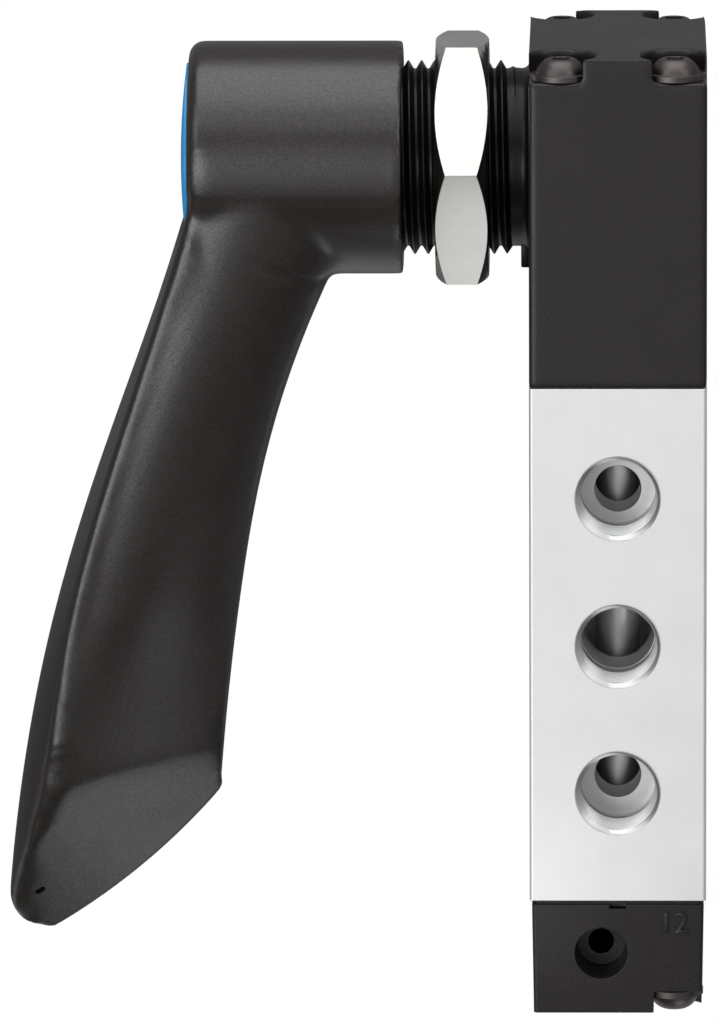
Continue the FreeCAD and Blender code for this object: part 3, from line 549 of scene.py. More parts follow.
@dataclass
class ThreadedNeck:
    """The moulded neck: its thread, run-out, relief, flare and the small lug under it."""

    crest: float = 11.0
    root: float = 10.08
    pitch: float = 1.5
    end_x: float = -23.0
    run_out_x: float = -2.1
    relief: float = 10.1
    flare: float = 0.9
    bore: float = 7.0
    top_crest_x: float = -13.74
    flat_share: float = 0.1
    root_share: float = 0.14
    root_flat: tuple[float, float] = (0.3, 0.7)
    root_lift: float = 0.03
    straight_share: float = 0.93
    end_chamfer: float = 1.0
    fade_length: float = 1.0
    relief_start: float = 0.55
    flare_steps: int = 6
    least_wall: float = 1.0
    sunk: float = 0.05
    steps: int = 120
    lug: Point = (1.0, 3.2, 12.5)
    lug_sunk: float = 0.1
    lug_root: float = 1.5
    lug_rounding: float = 0.2
    crisp_angle: float = 24.0

    def section(self) -> list[Point]:
        """The thread's section at the top of the neck, over all its turns.

        Returns:
            Points along X with their height.
        """
        flank = (1 - self.flat_share - self.root_share) / 2
        half_flat = self.flat_share / 2
        straight = flank * self.straight_share
        marks = (
            (-half_flat, self.crest),
            (half_flat, self.crest),
            (half_flat + straight, self.root + self.root_lift),
            (half_flat + flank + self.root_share * self.root_flat[0], self.root),
            (half_flat + flank + self.root_share * self.root_flat[1], self.root),
            (1 - half_flat - straight, self.root + self.root_lift),
        )
        first = math.floor((self.end_x - self.top_crest_x) / self.pitch) - 2
        last = math.ceil((self.run_out_x - self.top_crest_x) / self.pitch) + 1
        return [
            (self.top_crest_x + (turn + share) * self.pitch, 0.0, height)
            for turn in range(first, last)
            for share, height in marks
        ]

    def envelope(self, x: float, radius: float) -> float:
        """Limit the thread at its chamfered end and let it fade in the relief.

        Args:
            x: The place along the neck in millimetres.
            radius: The full thread's radius there.

        Returns:
            The radius that the neck has.
        """
        fade = clamp((self.run_out_x - x) / self.fade_length + 0.5)
        faded = self.relief + (radius - self.relief) * fade
        cone = self.crest - self.end_chamfer + (x - self.end_x)
        return min(faded, max(cone, self.bore + self.least_wall))

    def build(self, shop: Workshop) -> None:
        """Make the neck and hand it over.

        Args:
            shop: Where pieces are handed over.
        """
        mesh = screw_surface(self.section(), (1, 0, 0), (0, 0, 0), self.pitch, self.steps)
        for vert in mesh.verts:
            reach = math.hypot(vert.co.y, vert.co.z)
            scale = self.envelope(vert.co.x / MM, reach / MM) * MM / reach
            vert.co.y *= scale
            vert.co.z *= scale
        outer_end = trim(mesh, (self.end_x, 0, 0), (-1, 0, 0))
        ring = trim(mesh, (self.run_out_x + self.relief_start, 0, 0), (1, 0, 0))
        profile = []
        for part in range(self.flare_steps + 1):
            angle = math.pi / 2 * part / self.flare_steps
            rise = self.flare * (1 - math.cos(angle))
            profile.append((self.relief + rise, -self.flare + self.flare * math.sin(angle)))
        profile += [(self.relief + self.flare, self.sunk), (self.bore, self.sunk), (self.bore, self.end_x)]
        for radius, place in profile:
            ring = reshape_ring(mesh, ring, 0, (0, 0, 0), radius, place)
        bmesh.ops.bridge_loops(mesh, edges=ring + outer_end)
        self.add_lug(mesh)
        bmesh.ops.recalc_face_normals(mesh, faces=mesh.faces)
        # The neck's finish is darker than the housing's: painted shade between nut and housing
        piece = shop.hand_over(mesh, "threaded_neck", SHADED_THREAD_NYLON, Body.BLOCK)
        smooth(piece, self.crisp_angle)

    def add_lug(self, mesh: bmesh.types.BMesh) -> None:
        """Add the small lug that keeps the valve from turning in its panel.

        Args:
            mesh: The neck's mesh.
        """
        reach, width, bottom = self.lug
        height = bottom - self.bore - self.lug_root
        length = reach + self.lug_sunk
        place = Matrix.Translation(Vector((self.lug_sunk - length / 2, 0, -bottom + height / 2)) * MM)
        size = Matrix.Diagonal(Vector((length, width, height, 1 / MM)) * MM)
        lug = bmesh.ops.create_cube(mesh, size=1.0, matrix=place @ size)
        edges = {edge for vert in lug["verts"] for edge in vert.link_edges}
        bmesh.ops.bevel(
            mesh,
            geom=list(edges),
            offset=self.lug_rounding * MM,
            segments=2,
            profile=0.5,
            affect="EDGES",
            material=-1,
        )


@dataclass
class HousingShell:
    """The moulded upper housing without its neck, with the soft edges of its mould."""

    voxel: float = 0.32
    settle_passes: int = 5
    cavity_x: tuple[float, float] = (3.4, 16.6)
    cavity_half: float = 9.9
    cavity_top: float = 11.6
    cut_x: float = -0.002
    crisp_angle: float = 50.0

    def in_cavity(self, place: Vector) -> bool:
        """Tell whether a place lies in the carriage's cavity, whose walls stay crisp.

        Args:
            place: The place in millimetres.

        Returns:
            True inside the cavity and on its walls.
        """
        low, high = self.cavity_x
        return low < place.x < high and abs(place.y) < self.cavity_half and place.z < self.cavity_top

    def build(self, shop: Workshop) -> None:
        """Cut the neck off a copy of the CAD housing and round its edges.

        Args:
            shop: Where pieces are handed over.
        """
        mesh = shop.merged("upper_housing", 0.0)
        rims = trim(mesh, (self.cut_x, 0, 0), (-1, 0, 0))
        bmesh.ops.bridge_loops(mesh, edges=rims)
        mesh = with_modifier(mesh, "REMESH", mode="VOXEL", voxel_size=self.voxel * MM)
        ease(mesh, [vert for vert in mesh.verts if not self.in_cavity(vert.co / MM)], self.settle_passes)
        finish = FINISHES[Slot.BLACK_MOULDING]
        piece = shop.hand_over(mesh, "upper_housing_shell", finish, Body.BLOCK, ["upper_housing"])
        smooth(piece, self.crisp_angle)


@dataclass
class PortThreads:
    """Pipe thread liners of the five ports: mouth chamfer, thread ridges and the plain end of the bore."""

    major: float = 4.86
    minor: float = 4.283
    pitch: float = 0.907
    depth: float = 8.0
    mouth: float = 4.8
    thread_end: float = 7.0
    run_out_turns: float = 0.8
    crest_marks: tuple[float, float] = (0.0, 0.12)
    root_marks: tuple[float, float] = (0.5, 0.62)
    skin: float = 0.01
    steps: int = 72
    half_depth: float = 18.0
    centre_x: float = 10.0
    front: tuple[float, ...] = (-36.0, -53.0, -70.0)
    rear: tuple[float, ...] = (-44.5, -61.5)
    crisp_angle: float = 40.0

    def build(self, shop: Workshop) -> None:
        """Make one liner per port.

        Args:
            shop: Where pieces are handed over.
        """
        for side, heights in ((-1, self.front), (1, self.rear)):
            for height in heights:
                mesh = self.liner(side, height)
                name = f"port_thread_{'front' if side < 0 else 'rear'}_{abs(round(height))}"
                # The liners' colour is darker than the body's: painted shade inside the ports
                smooth(shop.hand_over(mesh, name, SHADED_TAPPED_ALUMINIUM, Body.BLOCK), self.crisp_angle)

    def liner(self, side: int, height: float) -> bmesh.types.BMesh:
        """One closed liner.

        Args:
            side: -1 for the front face, 1 for the rear face.
            height: The port's height in millimetres.

        Returns:
            The liner's mesh.
        """
        face = side * self.half_depth
        inward = -side
        turns = math.ceil(self.depth / self.pitch) + 3
        marks = [(share, self.minor) for share in self.crest_marks]
        marks += [(share, self.major - self.skin) for share in self.root_marks]
        section = [
            (self.centre_x, face + inward * (turn + share) * self.pitch, height + radius)
            for turn in range(-2, turns)
            for share, radius in marks
        ]
        mesh = screw_surface(section, (0, inward, 0), (self.centre_x, 0, height), self.pitch, self.steps)
        middle = Vector((self.centre_x, 0, height)) * MM
        for vert in mesh.verts:
            arm = vert.co - middle
            down = inward * (arm.y / MM - face)
            arm.y = 0.0
            radius = arm.length / MM
            run_out = clamp((self.thread_end - down) / (self.pitch * self.run_out_turns))
            radius = self.minor + (radius - self.minor) * run_out
            radius = max(radius, self.mouth - max(0.0, down))
            flat = middle + arm.normalized() * min(radius, self.major) * MM
            vert.co.x, vert.co.z = flat.x, flat.z
        floor = face + inward * (self.depth - self.skin)
        mouth_ring = trim(mesh, (0, face, 0), (0, side, 0))
        floor_ring = trim(mesh, (0, floor, 0), (0, inward, 0))
        centre = (self.centre_x, 0, height)
        outer = reshape_ring(mesh, mouth_ring, 1, centre, self.major, face)
        inner = reshape_ring(mesh, floor_ring, 1, centre, self.major, floor)
        bmesh.ops.bridge_loops(mesh, edges=outer + inner)
        bmesh.ops.recalc_face_normals(mesh, faces=mesh.faces)
        return mesh


def with_modifier(
    mesh: bmesh.types.BMesh, kind: str, helper: bpy.types.Object | None = None, **settings
) -> bmesh.types.BMesh:
    """Put a mesh through one modifier.

    Args:
        mesh: The mesh in metres. It is freed here.
        kind: The modifier's Blender type name.
        helper: An object that the modifier works with. It is removed here.
        **settings: The modifier's settings.

    Returns:
        The mesh that the modifier gives.
    """
    blank = add_shape("blank", mesh)
    modifier = blank.modifiers.new("shape", kind)
    for name, value in settings.items():
        setattr(modifier, name, value)
    if helper:
        modifier.object = helper
    bpy.context.view_layer.update()
    shaped = bmesh.new()
    shaped.from_object(blank, bpy.context.evaluated_depsgraph_get())
    for used in filter(None, (blank, helper)):
        bpy.data.objects.remove(used)
    return shaped


def ease(
    skin: bmesh.types.BMesh, verts: list[bmesh.types.BMVert], passes: int, sideways_only: bool = False
) -> None:
    """Ease vertices towards their neighbours.

    Args:
        skin: The mesh.
        verts: The vertices that move.
        passes: How many times they move.
        sideways_only: Whether they move along Y alone, which keeps the outline seen from the side.
    """
    free = not sideways_only
    for _ in range(passes):
        bmesh.ops.smooth_vert(skin, verts=verts, factor=0.5, use_axis_x=free, use_axis_y=True, use_axis_z=free)


class LeverEdge(Enum):
    """The kinds of edge that the lever's mould rounds differently."""

    CREASE = "between a side and its bevel"
    RIM = "round the tip's outer face"
    KEEL = "where the bevels meet"
    SADDLE = "where the grip grows out of the hub"


@dataclass
class MouldedLever:
    """The moulded lever as one skin whose edges are eased as its mould rounds them.

    The ridge, inner and edge lines are cubics of the drop below the hub's axis in centimetres. They give
    the ridge's X, the inner side's X and the inner edge's half width in millimetres.
    """

    voxel: float = 0.36
    settle_passes: int = 4
    sharp_angle: float = 12.0
    sample: float = 0.3
    tip_top: float = -64.0
    rim_top: float = -72.0
    bevel_lean: float = -0.3
    outer_lean: float = -0.6
    saddle_bottom: float = -26.0
    saddle_reach: float = 12.0
    sharp_tip: float = 1.8
    eased: dict[LeverEdge, tuple[tuple[float, int], ...]] = field(
        default_factory=lambda: {
            LeverEdge.CREASE: ((5.0, 24), (3.8, 60)),
            LeverEdge.SADDLE: ((2.0, 6),),
            LeverEdge.RIM: ((2.2, 6), (1.5, 12)),
        }
    )
    slot_place: Point = (-56.35, -3.45, -84.85)
    slot_size: Point = (1.3, 0.75, 1.6)
    bevel_steepness: float = 1.51
    keel_centre: tuple[float, float] = (-94.9, -23.1)
    keel_radius: float = 78.0
    keel_round: float = 0.2
    keel_reach: tuple[float, float] = (1.0, 2.2)
    keel_shift: float = 1.6
    keel_half: float = 0.05
    keel_snap: float = 0.04
    held_middle: float = 1.3
    hub_radius: float = 13.24
    hub_margin: float = 0.5
    hub_foot: float = 2.0
    half_width: float = 13.2
    width_taper: float = 0.0457
    ridge_line: tuple[float, ...] = (0.0381, -0.2623, -2.524, -37.3463)
    inner_line: tuple[float, ...] = (-0.0338, 0.7499, -6.4273, -15.5392)
    edge_line: tuple[float, ...] = (0.0187, -0.2948, 0.596, 5.7557)
    flank_top: float = 3.0
    flank_bottom: float = 66.0
    flank_fade: float = 17.0
    flank_lean: float = 0.2
    flank_inner_x: float = -15.5
    flank_least: float = 5.0
    flank_power: tuple[float, float] = (2.6, 1.35)
    flank_root: tuple[float, float] = (0.34, 0.92)
    flank_start: tuple[float, float] = (0.0, 1.6)
    flank_settle: int = 8
    settle_steps: tuple[float, ...] = (0.0, 2.5, 5.0)
    ridge_ease: float = 1.2
    ridge_blend: float = 9.0
    ridge_zone: float = -33.0
    inward_start: float = 3.0
    inward_ramp: float = 14.0
    crisp_angle: float = 60.0

    def build(self, shop: Workshop) -> None:
        """Make the lever and hand it over.

        Args:
            shop: Where pieces are handed over.
        """
        solid = shop.merged("lever_handle", 0.0)
        lines = self.edge_points(solid)
        skin = with_modifier(solid, "REMESH", mode="VOXEL", voxel_size=self.voxel * MM)
        ease(skin, list(skin.verts), self.settle_passes)
        self.fill_flanks(skin)
        for kind, steps in self.eased.items():
            for reach, passes in steps:
                ease(skin, self.near(skin, lines[kind], reach), passes, kind is LeverEdge.CREASE)
        self.true_keel(skin, lines[LeverEdge.KEEL])
        skin = with_modifier(skin, "BOOLEAN", self.slot_cutter(), operation="DIFFERENCE", solver="EXACT")
        piece = shop.hand_over(skin, "lever_skin", FINISHES[Slot.LEVER_PLASTIC], Body.LEVER, ["lever_handle"])
        smooth(piece, self.crisp_angle)

    def edge_points(self, solid: bmesh.types.BMesh) -> dict[LeverEdge, list[Vector]]:
        """Sort points along the solid's sharp edges by the kind of edge.

        Args:
            solid: The lever's joined solid.

        Returns:
            Points in metres for each kind.
        """
        lines: dict[LeverEdge, list[Vector]] = {kind: [] for kind in LeverEdge}
        for edge in solid.edges:
            if len(edge.link_faces) != 2 or math.degrees(edge.calc_face_angle()) < self.sharp_angle:
                continue
            kind = self.kind_of(edge)
            if kind:
                start, end = (vert.co for vert in edge.verts)
                count = max(1, math.ceil(edge.calc_length() / (self.sample * MM)))
                lines[kind] += [start.lerp(end, part / count) for part in range(count + 1)]
        return lines

    def kind_of(self, edge: bmesh.types.BMEdge) -> LeverEdge | None:
        """Tell which kind of edge a sharp edge of the solid is.

        Args:
            edge: The edge.

        Returns:
            Its kind, or None where the mould leaves it crisp.
        """
        middle = (edge.verts[0].co + edge.verts[1].co) / 2 / MM
        if middle.z > self.saddle_bottom:
            hub_side = math.hypot(middle.y, middle.z) > self.saddle_reach and middle.z < 0.0
            return LeverEdge.SADDLE if hub_side and not edge.is_convex else None
        if middle.z > self.tip_top:
            return None
        if abs(middle.y) < self.keel_half:
            return LeverEdge.KEEL
        outer, down = (min(face.normal[axis] for face in edge.link_faces) for axis in (0, 2))
        if outer < self.outer_lean:
            return LeverEdge.RIM if abs(middle.y) > self.sharp_tip and middle.z < self.rim_top else None
        return LeverEdge.CREASE if down < self.bevel_lean else None

    def flank(self, x: float, drop: float) -> tuple[float, float]:
        """Half width of the grip's full flank at one place of the side view.

        Args:
            x: The place along X in millimetres.
            drop: The place below the hub's axis in millimetres.

        Returns:
            The half width in millimetres, and how far the skin follows it, from 0 to 1.
        """
        ridge, inner, edge = (
            ((line[0] * s + line[1]) * s + line[2]) * s + line[3]
            for s in (drop / 10,)
            for line in (self.ridge_line, self.inner_line, self.edge_line)
        )
        across = (x - ridge) / (inner - ridge)
        near, far = self.flank_start
        entry = clamp((x - ridge - near) / (far - near))
        if not 0.0 < across < 1.0 or entry == 0.0:
            return 0.0, 0.0
        down = clamp(drop / self.flank_bottom)
        power, root = (first + (last - first) * down for first, last in (self.flank_power, self.flank_root))
        wide = self.half_width - self.width_taper * drop
        full = edge + (wide - edge) * (1 - across**power) ** root
        full -= self.ridge_ease * max(0.0, 1 - (x - ridge) / self.ridge_blend) ** 2
        end = clamp((self.flank_bottom - drop) / self.flank_fade)
        fade = end * end * (3 - 2 * end) * min(1.0, (drop + self.flank_top) / self.flank_top)
        return full, entry * fade

    def beside_hub(self, y: float, z: float) -> bool:
        """Tell whether a place of the skin is on the grip or on the hub's outside.

        Args:
            y: The place along Y in millimetres.
            z: The place along Z in millimetres.

        Returns:
            False in the hub's bore.
        """
        return z < -self.hub_radius or math.hypot(y, z) > self.hub_radius - self.hub_margin

    def fill_flanks(self, skin: bmesh.types.BMesh) -> None:
        """Shape the grip's sides: full, flush with the hub, and turning gently over from the ridge.

        Args:
            skin: The lever's skin.
        """
        skin.normal_update()
        moved = []
        for vert in skin.verts:
            x, y, z = vert.co / MM
            sideways = vert.normal.y * y > self.flank_lean * abs(y)
            if -self.flank_bottom < z < self.flank_top and self.beside_hub(y, z) and sideways:
                wide, share = self.flank(x, -z)
                if wide < abs(y):
                    free = z < -self.hub_radius - self.hub_foot or x < self.ridge_zone
                    share *= clamp((-z - self.inward_start) / self.inward_ramp) if free else 0.0
                if share:
                    moved.append((vert, math.copysign(abs(y) + (wide - abs(y)) * share, y) * MM))
        for vert, y in moved:
            vert.co.y = y
        for extra in self.settle_steps:
            zone = [
                vert
                for vert in skin.verts
                for x, y, z in [(part / MM for part in vert.co)]
                if -self.flank_bottom - extra < z < self.flank_top
                and x < self.flank_inner_x
                and abs(y) > self.flank_least
                and self.beside_hub(y, z)
            ]
            ease(skin, zone, self.flank_settle, sideways_only=True)

    def true_keel(self, skin: bmesh.types.BMesh, points: list[Vector]) -> None:
        """Lay the skin along the keel on the two bevels, which meet in a small rounding.

        Args:
            skin: The lever's skin.
            points: Points along the keel.
        """
        bmesh.ops.bisect_plane(
            skin,
            geom=[*skin.verts, *skin.edges, *skin.faces],
            dist=self.keel_snap * MM,
            plane_co=(0, 0, 0),
            plane_no=(0, 1, 0),
        )
        tree = self.point_tree(points)
        full, none = self.keel_reach
        centre = Vector((self.keel_centre[0], 0, self.keel_centre[1])) * MM
        for vert in skin.verts:
            distance = tree.find(vert.co)[2] / MM
            if distance < none:
                share = clamp((none - distance) / (none - full))
                arm = vert.co - centre
                arm.y = 0.0
                drop = math.hypot(self.bevel_steepness * vert.co.y / MM, self.keel_round)
                target = centre + arm.normalized() * (self.keel_radius - drop) * MM
                target.y = vert.co.y
                share *= max(0.0, 1 - (target - vert.co).length / (self.keel_shift * MM))
                vert.co = vert.co.lerp(target, share)

    def point_tree(self, points: list[Vector]) -> KDTree:
        """Sort points for quick nearest searches.

        Args:
            points: The points in metres.

        Returns:
            The search tree.
        """
        tree = KDTree(len(points))
        for index, point in enumerate(points):
            tree.insert(point, index)
        tree.balance()
        return tree

    def near(self, skin: bmesh.types.BMesh, points: list[Vector], reach: float) -> list[bmesh.types.BMVert]:
        """Find the skin's vertices within reach of an edge, except along the tip's middle line.

        Args:
            skin: The lever's skin.
            points: Points along the edge.
            reach: The distance in millimetres.

        Returns:
            The vertices.
        """
        tree = self.point_tree(points)
        return [
            vert
            for vert in skin.verts
            if points
            and tree.find(vert.co)[2] < reach * MM
            and (vert.co.z > self.tip_top * MM or abs(vert.co.y) > self.held_middle * MM)
        ]

    def slot_cutter(self) -> bpy.types.Object:
        """The tool that cuts the small blind slot near the tip, square to its bevel.

        Returns:
            The cutter's object.
        """
        place = Vector(self.slot_place)
        radial = Vector((place.x - self.keel_centre[0], 0, place.z - self.keel_centre[1])).normalized()
        out = (radial + Vector((0, -self.bevel_steepness, 0))).normalized()
        along = Vector((-radial.z, 0, radial.x))
        across = out.cross(along)
        length, width, depth = self.slot_size
        cutter = bmesh.new()
        bmesh.ops.create_cone(cutter, cap_ends=True, segments=24, radius1=width / 2, radius2=width / 2, depth=depth)
        for vert in cutter.verts:
            vert.co.x += math.copysign((length - width) / 2, vert.co.x)
        turn = Matrix((along, across, out)).transposed().to_4x4()
        matrix = Matrix.Scale(MM, 4) @ Matrix.Translation(place) @ turn
        bmesh.ops.transform(cutter, matrix=matrix, verts=cutter.verts)
        return add_shape("slot_cutter", cutter)


@dataclass(frozen=True)
class Shell:
    """How one CAD node is dressed: joined, shaded and rounded."""

    node: str
    slot: Slot
    body: Body
    rounding: float = 0.0
    flat_angle: float = 0.2

    def build(self, shop: Workshop) -> None:
        """Make the dressed copy and hand it over.

        Args:
            shop: Where pieces are handed over.
        """
        mesh = shop.merged(self.node, self.flat_angle)
        piece = shop.hand_over(mesh, f"{self.node}_shell", FINISHES[self.slot], self.body, [self.node])
        smooth(piece)
        if self.rounding:
            soften(piece, self.rounding)


SHELLS = (
    Shell("valve_body", Slot.ALUMINIUM, Body.BLOCK, 0.12),
    Shell("bottom_cap", Slot.BLACK_MOULDING, Body.BLOCK, 0.22),
    Shell("housing_gasket", Slot.RUBBER, Body.BLOCK),
    Shell("bottom_gasket", Slot.RUBBER, Body.BLOCK),
    Shell("housing_screws", Slot.BLACK_STEEL, Body.BLOCK, 0.06),
    Shell("cap_screws", Slot.BLACK_STEEL, Body.BLOCK, 0.06),
    Shell("shaft_bush", Slot.BRONZE, Body.BLOCK),
    Shell("bush_circlip", Slot.SPRING_STEEL, Body.BLOCK),
    Shell("panel_nut", Slot.PLATED_STEEL, Body.NUT, 0.1),
    Shell("lever_cap", Slot.BLUE_PLASTIC, Body.LEVER, 0.12, 0.0),
    Shell("lever_screw", Slot.BLACK_STEEL, Body.LEVER, 0.1),
    Shell("lever_washer", Slot.PLATED_STEEL, Body.LEVER, 0.08),
    Shell("drive_shaft", Slot.POLISHED_STEEL, Body.LEVER, 0.1),
    Shell("crank_pin", Slot.POLISHED_STEEL, Body.LEVER, 0.1),
    Shell("shaft_seal", Slot.RUBBER, Body.LEVER),
    Shell("thrust_washer", Slot.WHITE_PLASTIC, Body.LEVER),
    Shell("spool_yoke", Slot.WHITE_PLASTIC, Body.SLIDER, 0.15),
    Shell("spool", Slot.POLISHED_STEEL, Body.SLIDER),
    Shell("spool_seals", Slot.RUBBER, Body.SLIDER),
    Shell("yoke_pin", Slot.POLISHED_STEEL, Body.SLIDER),
    Shell("detent_balls", Slot.POLISHED_STEEL, Body.SLIDER, 0.0, 0.0),
    Shell("detent_spring", Slot.SPRING_STEEL, Body.SLIDER, 0.0, 0.0),
)


@dataclass
class PortNumber:
    """The raised port number on the bottom cap."""

    text: str = "12"
    height: float = 3.4
    raised: float = 0.3
    edge: float = 0.03
    weld: float = 0.001
    centre: tuple[float, float] = (16.35, -85.2)
    face_y: float = -17.72
    crisp_angle: float = 40.0

    def build(self, shop: Workshop) -> None:
        """Make the number as a mesh and lay it on the cap's face.

        Args:
            shop: Where pieces are handed over.
        """
        curve = bpy.data.curves.new("port_number_outline", "FONT")
        curve.body = self.text
        curve.align_x = "CENTER"
        curve.align_y = "CENTER"
        curve.size = self.height
        curve.extrude = self.raised
        curve.bevel_depth = self.edge
        curve.bevel_resolution = 1
        curve.resolution_u = 6
        outline = add_object("port_number_outline", curve)
        bpy.context.view_layer.update()
        flat = bpy.data.meshes.new_from_object(outline)
        bpy.data.objects.remove(outline)
        mesh = bmesh.new()
        mesh.from_mesh(flat)
        bmesh.ops.remove_doubles(mesh, verts=mesh.verts, dist=self.weld)
        stand = Matrix.Rotation(math.pi / 2, 4, "X")
        place = Matrix.Translation(Vector((self.centre[0], self.face_y, self.centre[1])) * MM)
        bmesh.ops.transform(mesh, matrix=place @ Matrix.Scale(MM, 4) @ stand, verts=mesh.verts)
        bmesh.ops.recalc_face_normals(mesh, faces=mesh.faces)
        piece = shop.hand_over(mesh, "port_number", FINISHES[Slot.BLACK_MOULDING], Body.BLOCK)
        smooth(piece, self.crisp_angle)


# Where most lamps aim: about the middle of the valve, in metres
VALVE_MIDDLE: Point = (0.0, 0.0, -0.04)


@dataclass
class Softbox:
    """One soft area lamp."""

    name: str
    place: Point
    aim: Point
    size: tuple[float, float]
    level: float

    def build(self) -> None:
        """Make the lamp with a given brightness of its face."""
        data = bpy.data.lights.new(self.name, "AREA")
        data.shape = "RECTANGLE"
        data.size, data.size_y = self.size
        data.energy = self.level * math.pi * self.size[0] * self.size[1]
        lamp = add_object(self.name, data)
        lamp.location = self.place
        lamp.rotation_euler = (Vector(self.aim) - Vector(self.place)).to_track_quat("-Z", "Y").to_euler()
        lamp.visible_camera = False


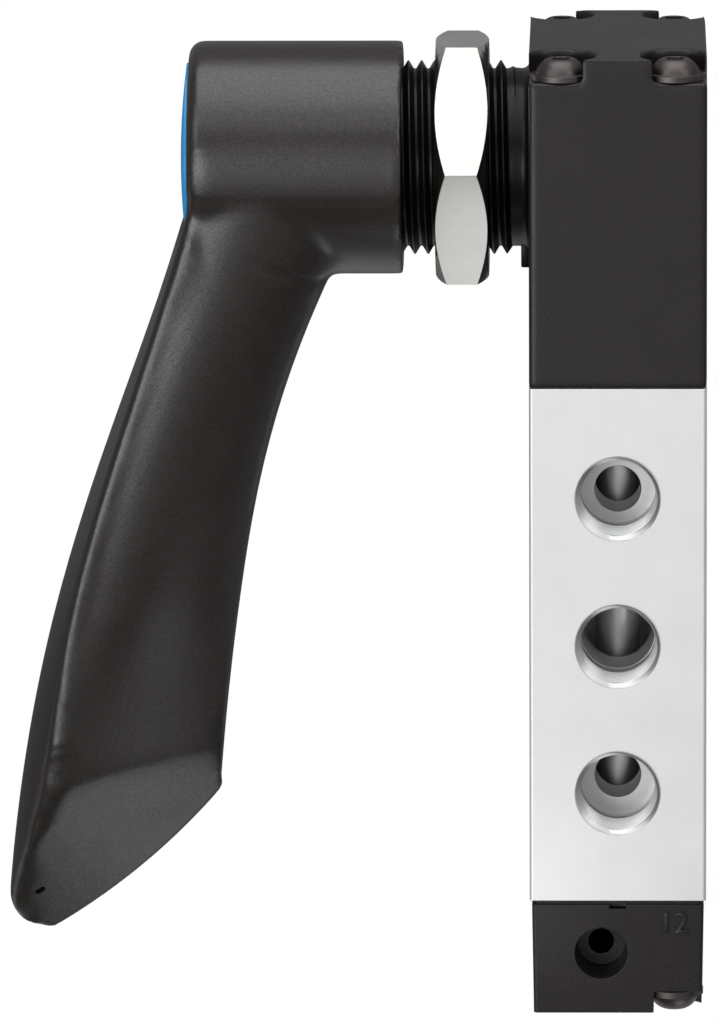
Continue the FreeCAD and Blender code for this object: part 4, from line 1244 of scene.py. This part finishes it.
@dataclass
class Studio:
    """Floor, backdrop, lamps and camera."""

    distance: float = 1250.0
    focal_px: float = 10934.0
    frame_px: tuple[int, int] = (717, 1024)
    sensor: float = 36.0
    elevation: float = 11.51
    axis_point: Point = (10.0, 0.0, -41.15)
    axis_px: float = 617.9
    floor_z: float = -0.30
    floor_size: float = 6.0
    floor_colour: str = "#dedede"
    # Painted light: the floor's glow in reflections, set by place along Y, with brighter and darker bands that no
    # lamp casts
    reflected_floor_glow: tuple[tuple[float, float], ...] = (
        (-1.6, 0.85),
        (-0.9, 0.62),
        (-0.6, 0.22),
        (-0.05, 0.16),
        (0.12, 0.80),
        (0.6, 0.12),
    )
    # A painted shade in the floor's glow, seen only in reflections: a round darker patch
    shade_place: tuple[float, float] = (0.16, -0.20)
    shade_radius: float = 0.3
    shade_depth: float = 0.6
    room_level: float = 0.26
    lamps: tuple[Softbox, ...] = (
        Softbox("top_softbox", (0.0, -0.05, 0.75), VALVE_MIDDLE, (0.9, 0.75), 2.3),
        Softbox("front_softbox", (-0.10, -0.85, 0.90), VALVE_MIDDLE, (1.0, 0.5), 1.2),
        Softbox("left_high_softbox", (-0.90, -0.75, 0.75), VALVE_MIDDLE, (0.7, 0.7), 2.0),
        Softbox("right_high_softbox", (0.90, -0.75, 0.75), VALVE_MIDDLE, (0.7, 0.7), 2.0),
        Softbox("front_card", (0.0, -1.65, 0.27), VALVE_MIDDLE, (1.3, 0.80), 0.75),
        Softbox("right_card", (1.35, -1.65, 0.27), VALVE_MIDDLE, (1.4, 0.80), 0.40),
        Softbox("left_card", (-0.55, -0.955, -0.08), VALVE_MIDDLE, (0.68, 0.42), 4.5),
        Softbox("low_card", (0.06, -0.055, -0.235), (-0.045, 0.0, -0.08), (0.09, 0.09), 1.7),
        Softbox("nut_card", (-0.005, -0.045, -0.09), (-0.005, -0.012, -0.01), (0.022, 0.022), 0.86),
    )

    def build(self) -> None:
        """Build the whole studio."""
        scene = bpy.context.scene
        scene.view_settings.view_transform = "Standard"
        self.build_camera()
        self.build_room()
        for lamp in self.lamps:
            lamp.build()
        self.build_world()

    def build_camera(self) -> None:
        """Place the camera at the photograph's viewing angle."""
        data = bpy.data.cameras.new("camera")
        data.lens = self.focal_px / max(self.frame_px) * self.sensor
        data.sensor_width = self.sensor
        data.clip_end = 20.0
        tilt = math.radians(self.elevation)
        swing = math.atan((self.axis_px - self.frame_px[0] / 2) / self.focal_px)
        ahead = Vector((0, math.cos(tilt), -math.sin(tilt)))
        up = Vector((0, math.sin(tilt), math.cos(tilt)))
        place = (Vector(self.axis_point) - ahead * self.distance) * MM
        look = ahead * math.cos(swing) - Vector((1, 0, 0)) * math.sin(swing)
        right = look.cross(up)
        turn = Matrix((right, up, -look)).transposed()
        camera = add_object("camera", data)
        camera.matrix_world = Matrix.Translation(place) @ turn.to_4x4()
        bpy.context.scene.camera = camera

    def pale_surface(self) -> bpy.types.Material:
        """Matt pale paper that shows white to the camera; in reflections it glows with painted light, graded along Y,
        with a round painted shade.

        Returns:
            The floor's material.
        """
        made = bpy.data.materials.new("studio_paper")
        made.use_nodes = True
        tree = made.node_tree
        tree.nodes.clear()
        path = add_node(tree, "ShaderNodeLightPath")
        matt = add_node(tree, "ShaderNodeBsdfDiffuse", Color=linear(self.floor_colour))
        white = add_node(tree, "ShaderNodeEmission", Color=(1, 1, 1, 1), Strength=1.0)
        place = add_node(tree, "ShaderNodeTexCoord").outputs["Object"]
        depth = add_node(tree, "ShaderNodeSeparateXYZ", {"Vector": place}).outputs["Y"]
        near, far = self.reflected_floor_glow[0][0], self.reflected_floor_glow[-1][0]
        along = add_node(tree, "ShaderNodeMapRange", {"Value": depth}, From_Min=near, From_Max=far)
        falloff = add_node(tree, "ShaderNodeValToRGB", {"Fac": along.outputs["Result"]})
        for extra in range(len(self.reflected_floor_glow) - 2):
            falloff.color_ramp.elements.new(0.5 + 0.1 * extra)
        for element, (y, level) in zip(falloff.color_ramp.elements, self.reflected_floor_glow):
            element.position = (y - near) / (far - near)
            element.color = (level, level, level, 1.0)
        shift = [-part / self.shade_radius for part in self.shade_place] + [-self.floor_z / self.shade_radius]
        grow = (1 / self.shade_radius,) * 3
        centred = add_node(tree, "ShaderNodeMapping", {"Vector": place}, Location=shift, Scale=grow)
        round_off = add_node(
            tree, "ShaderNodeTexGradient", {"Vector": centred.outputs["Vector"]}, gradient_type="SPHERICAL"
        )
        shade = add_node(
            tree, "ShaderNodeMapRange", {"Value": round_off.outputs["Fac"]}, To_Min=1.0, To_Max=1.0 - self.shade_depth
        )
        # Painted light: the glow that glossy and transmission rays see, dimmed by the painted shade patch
        pale = add_node(
            tree, "ShaderNodeEmission", {"Color": falloff.outputs["Color"], "Strength": shade.outputs["Result"]}
        )
        glossy, clear, direct = (path.outputs[f"Is {kind} Ray"] for kind in ("Glossy", "Transmission", "Camera"))
        mirror = add_node(tree, "ShaderNodeMath", {0: glossy, 1: clear}, operation="MAXIMUM")
        seen = add_node(tree, "ShaderNodeMixShader", {0: mirror.outputs[0], 1: matt.outputs[0], 2: pale.outputs[0]})
        surface = add_node(tree, "ShaderNodeMixShader", {0: direct, 1: seen.outputs[0], 2: white.outputs[0]})
        add_node(tree, "ShaderNodeOutputMaterial", {"Surface": surface.outputs[0]})
        return made

    def build_room(self) -> None:
        """Make the pale floor."""
        mesh = bmesh.new()
        place = Matrix.Translation((0, 0, self.floor_z))
        bmesh.ops.create_grid(mesh, x_segments=1, y_segments=1, size=self.floor_size / 2, matrix=place)
        floor = add_shape("studio_floor", mesh)
        floor.data.materials.append(self.pale_surface())

    def build_world(self) -> None:
        """Fill the room with plain soft light, white to the camera."""
        world = bpy.data.worlds.new("studio_room")
        world.use_nodes = True
        tree = world.node_tree
        tree.nodes.clear()
        direct = add_node(tree, "ShaderNodeLightPath").outputs["Is Camera Ray"]
        room = add_node(tree, "ShaderNodeBackground", Color=(1, 1, 1, 1), Strength=self.room_level)
        white = add_node(tree, "ShaderNodeBackground", Color=(1, 1, 1, 1), Strength=1.0)
        surface = add_node(tree, "ShaderNodeMixShader", {0: direct, 1: room.outputs[0], 2: white.outputs[0]})
        add_node(tree, "ShaderNodeOutputWorld", {"Surface": surface.outputs[0]})
        bpy.context.scene.world = world


def main() -> None:
    """Build the studio and every sub-assembly in order."""
    logging.basicConfig(level=logging.INFO, format="%(name)s: %(message)s")
    shop = Workshop(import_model())
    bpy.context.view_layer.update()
    Studio().build()
    HousingShell().build(shop)
    ThreadedNeck().build(shop)
    PortThreads().build(shop)
    MouldedLever().build(shop)
    for shell in SHELLS:
        shell.build(shop)
    PortNumber().build(shop)
    LOG.info("%d pieces in all", len(shop.pieces))


if __name__ == "__main__":
    main()
